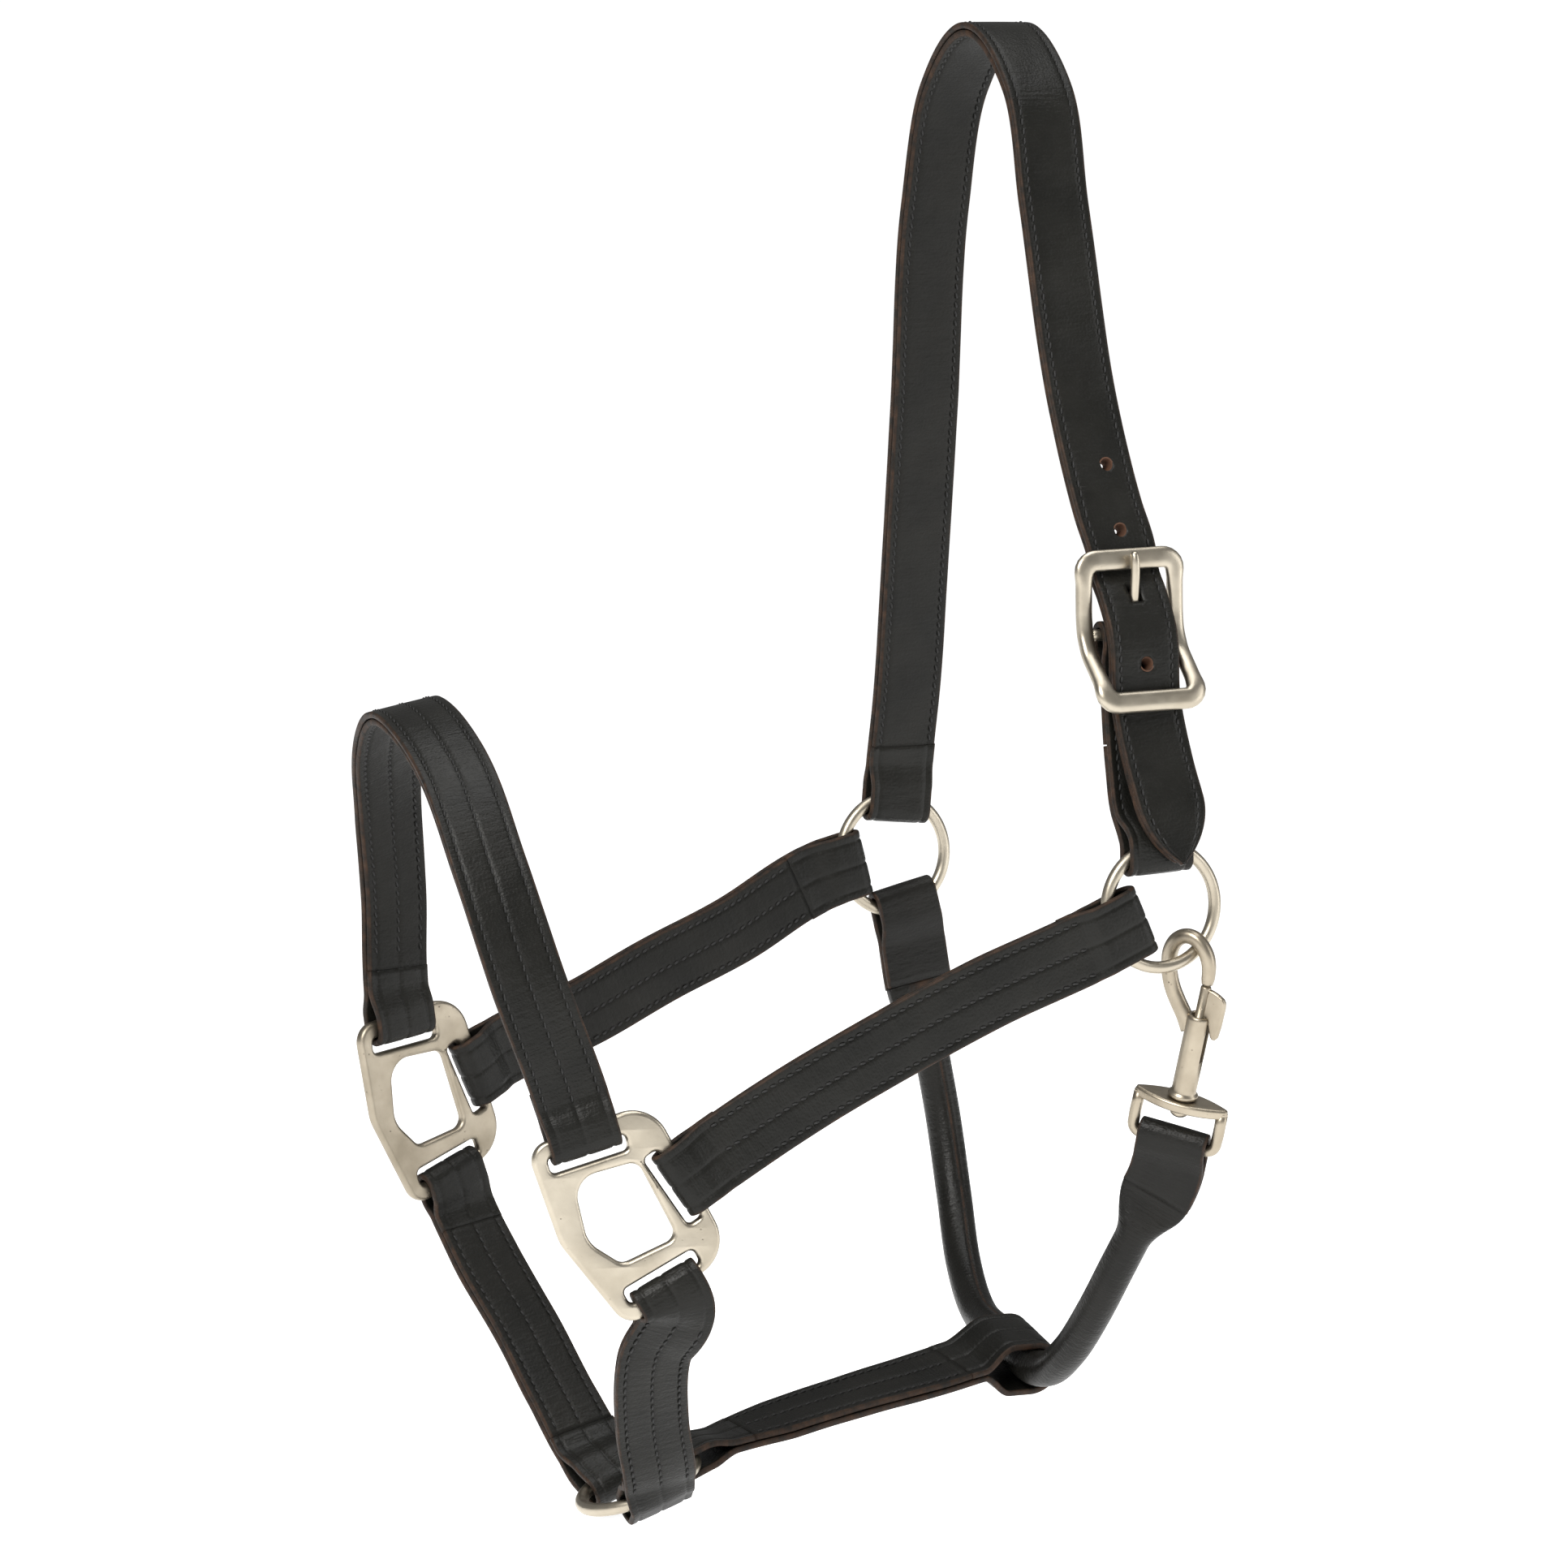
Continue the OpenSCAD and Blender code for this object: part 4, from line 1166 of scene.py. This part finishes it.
def recolour(name, material):
    """Gives a CAD node that stays as it is its own look."""
    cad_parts[name].data.materials.clear()
    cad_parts[name].data.materials.append(material)


make_throat()
recolour("throat_core", plain_material("core_cord", (0.25, 0.19, 0.12), 0.9))
recolour("snap_spring", WIRE)


# ---- rings ----
def metal_piece(name, parts, body, material=NICKEL):
    verts, faces = join(parts)
    piece = add_mesh(name, verts, faces, material, body, [name])
    outward(piece.data)
    return piece


for name, centre, seed in (("near_ring", NEAR_RING, 51), ("far_ring", FAR_RING, 52)):
    ring = wire_ring(centre, V(1, 0, 0), V(0, 0, 1), RING_RADIUS, RING_WIRE, seed)
    metal_piece(name, [ring], name)
lead = wire_ring(LEAD, LEAD_AHEAD, V(0, 1, 0), LEAD_RADIUS, LEAD_WIRE, 53)
metal_piece("lead_ring", [lead], "lead_ring")


# ---- squares ----
def rounded_box(w, h, r, n=20):
    return hull_of([(x * (w / 2 - r), y * (h / 2 - r), r) for x in (-1, 1) for y in (-1, 1)], n)


def slot_outline(angle, across, inner):
    a = math.radians(angle)
    box = rounded_box(SLOT_WIDTH, SLOT_LENGTH, 1.9)
    moved = []
    for x, y in box:
        x = x + inner + SLOT_WIDTH / 2
        y = y + across
        moved.append((x * math.cos(a) - y * math.sin(a), x * math.sin(a) + y * math.cos(a)))
    return moved


def square_outlines():
    outside = hull_of([(-24.5, 18, 7), (2, 21, 13), (18.5, -9.5, 13), (2, -28.5, 7), (-9.5, -2.5, 14.3)])
    window = hull_of([(-8.2, 6, 8), (-4, -3, 10), (1.5, 12, 4.5), (12, -6.5, 3.8), (-1, -11.5, 4.5)])
    return [outside, window] + [slot_outline(*s) for s in (NOSE_SLOT, CHEEK_SLOT, CHIN_SLOT)]


def make_square(name, side, material):
    def place(x, y, z):
        return on_square(side, x, y, z)

    casting(name, square_outlines(), PLATE, 1.55, place, material, NOSE_BODY, [name])


make_square("near_square", -1, NICKEL)
make_square("far_square", 1, WORN)


# ---- buckle ----
def frame_height(u):
    """Middle of the frame's side, outward from the centre bar."""
    marks = [(-28, 12), (-20, 10.6), (-13, 6.2), (-7, 2.2), (0, 0.6), (6, 1.3), (15, 3.4), (21, 5), (28, 6.1)]
    return float(np.interp(u, [m[0] for m in marks], [m[1] for m in marks]))


def make_buckle():
    side_x = 17.1
    end_u = 24.3
    r = 4.4
    x = side_x - r
    u = end_u - r
    loop = []
    for cx, cu, start in ((x, u, 0), (-x, u, 90), (-x, -u, 180), (x, -u, 270)):
        loop += arc(cx, cu, r, start, start + 90, 8)
    loop = even(loop, 1.2)
    heights = [frame_height(u) for x, u in loop]
    for _ in range(3):
        before = heights[-1:] + heights[:-1]
        after = heights[1:] + heights[:1]
        heights = [(a + 2 * h + b) / 4 for a, h, b in zip(before, heights, after)]
    points = [by_buckle(u, v, x) for (x, u), v in zip(loop, heights)]
    radii = []
    for x, u in loop:
        end = min(1.0, max(0.0, (abs(u) - 17) / 5))
        radii.append((mix(2.15, 1.75 if u > 0 else 2.3, end), mix(2.8, 3.6, end)))
    ring = tube(points, radii, 28, BUCKLE_OUT, 0.82, closed=True)
    bar = tube([by_buckle(0, 0, x) for x in np.linspace(-15.6, 15.6, 12)], BAR, 24, BUCKLE_OUT)
    metal_piece("buckle_frame", [ring, bar], HEAD_BODY)


make_buckle()


TONGUE = ((2.7, 2.2), (4.2, 6), (6.9, 13.5), (9.2, 20), (10.0, 23.6), (9.7, 26.3))


def make_tongue():
    """A tapered pin on a hinge eye round the bar; TONGUE is its line as (out, up) points."""
    line = smooth_line([by_buckle(u, v) for v, u in TONGUE], 8)
    n = len(line)
    radii = []
    for i in range(n):
        t = i / (n - 1)
        r = mix(1.75, 1.45, t)
        if t > 0.9:
            r *= math.sqrt(max(0.02, 1 - ((t - 0.9) / 0.1) ** 2))
        radii.append(r)
    pin = tube(line, radii, 20, BUCKLE_ACROSS)

    def on_bar(x, y, z):
        return by_buckle(y, x, z)

    bore_radius = BAR + 0.05
    profile = [
        (3.2, -2.2), (3.55, -1.8), (3.6, 0), (3.55, 1.8), (3.2, 2.2),
        (bore_radius, 2.2), (bore_radius, -2.2),
    ]
    metal_piece("buckle_tongue", [pin, revolve_loop(profile, on_bar, 36)], "buckle_tongue")


make_tongue()


# ---- trigger snap ----
def make_eye():
    """The wire of the swivel eye, with domed ends, and the drilled plate across it."""
    r = 3.2
    half = 14.6
    top = 14.4
    wire = 2.0
    loop = [(-half, top), (-half, r)]
    loop += arc(-half + r, r, r, 180, 270, 8)[1:-1]
    loop += [(-half + r, 0), (0, 0), (half - r, 0)]
    loop += arc(half - r, r, r, 270, 360, 8)[1:-1]
    loop += [(half, r), (half, top)]
    points = smooth_line([by_eye(x, 0, z) for x, z in loop], 3)
    parts = [tube(points, wire, 22, SNAP_IN)]
    angles = [math.radians(a) for a in (0, 20, 40, 60, 75, 89)]
    dome = [(wire * math.cos(a), top + wire * math.sin(a)) for a in angles]
    for side in (-half, half):
        parts.append(revolve(dome, lambda x, y, z, side=side: by_eye(side + x, y, z), 22))
    metal_piece("swivel_eye", parts, "swivel_eye", BRASSY)
    lens = []
    for i in range(41):
        x = -16.2 + 32.4 * i / 40
        lens.append((x, 6.0 * (1 - (x / 16.9) ** 2) + 0.5))
    outline = lens + [(x, -y) for x, y in reversed(lens)]
    hole = circle_points(0, 0, 1.85, 30)

    def place(x, y, z):
        return by_eye(x, y, 14.75 + z)

    casting("swivel_eye_plate", [outline, hole], 3.5, 1.1, place, BRASSY, "swivel_eye", ())


make_eye()
# the rivet and the hook's line: (radius, height) and (x, height) points above the eye's bar
RIVET = [
    (0.02, 9.5), (1.2, 9.6), (2.2, 9.95), (2.9, 10.5), (3.25, 11.2), (3.3, 12.35), (1.8, 12.4), (1.8, 20),
]
metal_piece("swivel_rivet", [revolve(RIVET, by_eye)], "snap_body", BRASSY)

HOOK = [
    (0.1, 59), (-0.1, 62.3), (-0.7, 65.5), (-2.3, 68.8), (-4.9, 71.4), (-8, 72.9), (-11.3, 72.5),
    (-14.2, 70), (-15.6, 65.8), (-15.2, 61), (-14, 57), (-12, 53), (-9, 49), (-5.6, 45), (-3, 41),
]


def make_snap_body():
    """The barrel, bored and slotted for the bolt, and the hook on top of it."""
    line = smooth_line([by_hook(x, 0, z) for x, z in HOOK], 5)
    n = len(line)
    radii = []
    marks = (0, 0.04, 0.2, 0.45, 0.7, 1)
    for i in range(n):
        t = i / (n - 1)
        wide = float(np.interp(t, marks, (1.9, 2.25, 2.5, 2.6, 2.45, 2.3)))
        deep = float(np.interp(t, marks, (1.9, 2.25, 2.5, 2.6, 2.8, 3.0)))
        radii.append((wide, deep))
    barrel = [
        (1.85, 16.7), (4.3, 16.7), (4.75, 17), (5.1, 17.5), (5.2, 18), (5.0, 18.5), (4.5, 18.9),
        (4.25, 19.4), (BARREL, 21), (BARREL, 46), (4.05, 47), (3.6, 47.5), (2.95, 47.5), (2.9, 47),
        (2.9, 21), (1.85, 20.9),
    ]
    body = metal_piece("snap_body", [revolve_loop(barrel, by_hook, 48)], "snap_body", BRASSY)
    bore([body], [(2.2, -1.25), (8, -1.25), (8, 1.25), (2.2, 1.25)], 31, 52, by_hook)
    verts, faces = tube(line, radii, 26, HOOK_Y, 0.92)
    hook = add_mesh("snap_hook", verts, faces, BRASSY, "snap_body", ())
    outward(hook.data)
    bore([hook], circle_points(0, 0, 2.88, 40), 30, 56, by_hook)


make_snap_body()


def make_bolt():
    profile = [
        (0.02, 34), (2.6, 34), (2.82, 34.3), (2.82, 38.6), (2.6, 39), (BOLT, 39.1), (BOLT, 57.8),
        (1.5, 58.2), (0.02, 58.3),
    ]
    pin = revolve(profile, by_hook, 32)
    metal_piece("snap_bolt", [pin], "snap_bolt", BRASSY)
    tab = [
        (1.2, 46.6), (2.6, 46.6), (3.7, 45.2), (4.6, 43.3), (5.4, 41.4), (6.2, 40.7), (7.3, 40.8),
        (8.1, 42), (8.5, 46), (8.6, 53), (8.3, 54.9), (7.4, 56.1), (5.2, 57), (3, 57.5), (1.2, 57.6),
    ]

    def place(x, y, z):
        return by_hook(x, z, y)

    casting("snap_bolt_tab", [tab], 2.1, 0.8, place, BRASSY, "snap_bolt", ())


make_bolt()


# ---- stage, camera and light ----
def make_stage():
    """A wide pale floor just under the lowest strap."""
    mesh = bpy.data.meshes.new("floor")
    size = 40.0
    z = float(cad_low.z) - 0.004
    corners = [(-size, -size, z), (size, -size, z), (size, size, z), (-size, size, z)]
    mesh.from_pydata(corners, [], [(0, 1, 2, 3)])
    material, tree, shader = fresh("pale_floor")
    shader.inputs["Base Color"].default_value = (0.85, 0.85, 0.85, 1)
    shader.inputs["Roughness"].default_value = 0.95
    shader.inputs["Specular IOR Level"].default_value = 0.1
    shader.inputs["Emission Color"].default_value = (1, 1, 1, 1)
    shader.inputs["Emission Strength"].default_value = 0.85
    mesh.materials.append(material)
    floor = bpy.data.objects.new("floor", mesh)
    bpy.context.scene.collection.objects.link(floor)


def aimed(name, data, place, target):
    """A camera or lamp at one place that looks at another."""
    made = bpy.data.objects.new(name, data)
    made.location = place
    made.rotation_mode = "QUATERNION"
    made.rotation_quaternion = (Vector(target) - Vector(place)).to_track_quat("-Z", "Y")
    bpy.context.scene.collection.objects.link(made)
    return made


def make_camera():
    data = bpy.data.cameras.new("camera")
    data.lens = 187.8
    data.sensor_width = 36
    data.clip_start = 0.05
    data.clip_end = 60
    place = (-1.25849, -2.51546, -0.01082)
    target = (-0.07966, 0.01254, -0.25486)
    bpy.context.scene.camera = aimed("camera", data, place, target)


def area_light(name, place, target, size, power, colour=(1, 1, 1)):
    data = bpy.data.lights.new(name, "AREA")
    data.shape = "RECTANGLE"
    data.size = size[0]
    data.size_y = size[1]
    data.energy = power
    data.color = colour
    aimed(name, data, place, target)


def make_lights():
    """Soft light from all round, a white ground behind, and three studio lamps."""
    world = bpy.data.worlds.new("studio")
    world.use_nodes = True
    tree = world.node_tree
    soft = tree.nodes["Background"]
    soft.inputs["Color"].default_value = (1, 1, 1, 1)
    soft.inputs["Strength"].default_value = 0.22
    white = node(tree, "ShaderNodeBackground")
    white.inputs["Color"].default_value = (1, 1, 1, 1)
    white.inputs["Strength"].default_value = 1.05
    seen = node(tree, "ShaderNodeLightPath").outputs["Is Camera Ray"]
    both = node(tree, "ShaderNodeMixShader")
    tree.links.new(seen, both.inputs[0])
    tree.links.new(soft.outputs[0], both.inputs[1])
    tree.links.new(white.outputs[0], both.inputs[2])
    tree.links.new(both.outputs[0], tree.nodes["World Output"].inputs["Surface"])
    bpy.context.scene.world = world
    middle = (-0.08, 0, -0.27)
    area_light("key", (-1.7, -1.5, 1.5), middle, (1.2, 1.2), 75, (1, 0.985, 0.96))
    area_light("top", (0.1, -0.2, 2.0), middle, (1.6, 1.6), 30)
    area_light("side", (1.9, -1.4, 0.2), middle, (0.9, 1.6), 14)


make_stage()
make_camera()
make_lights()
bpy.context.scene.view_settings.view_transform = "Standard"
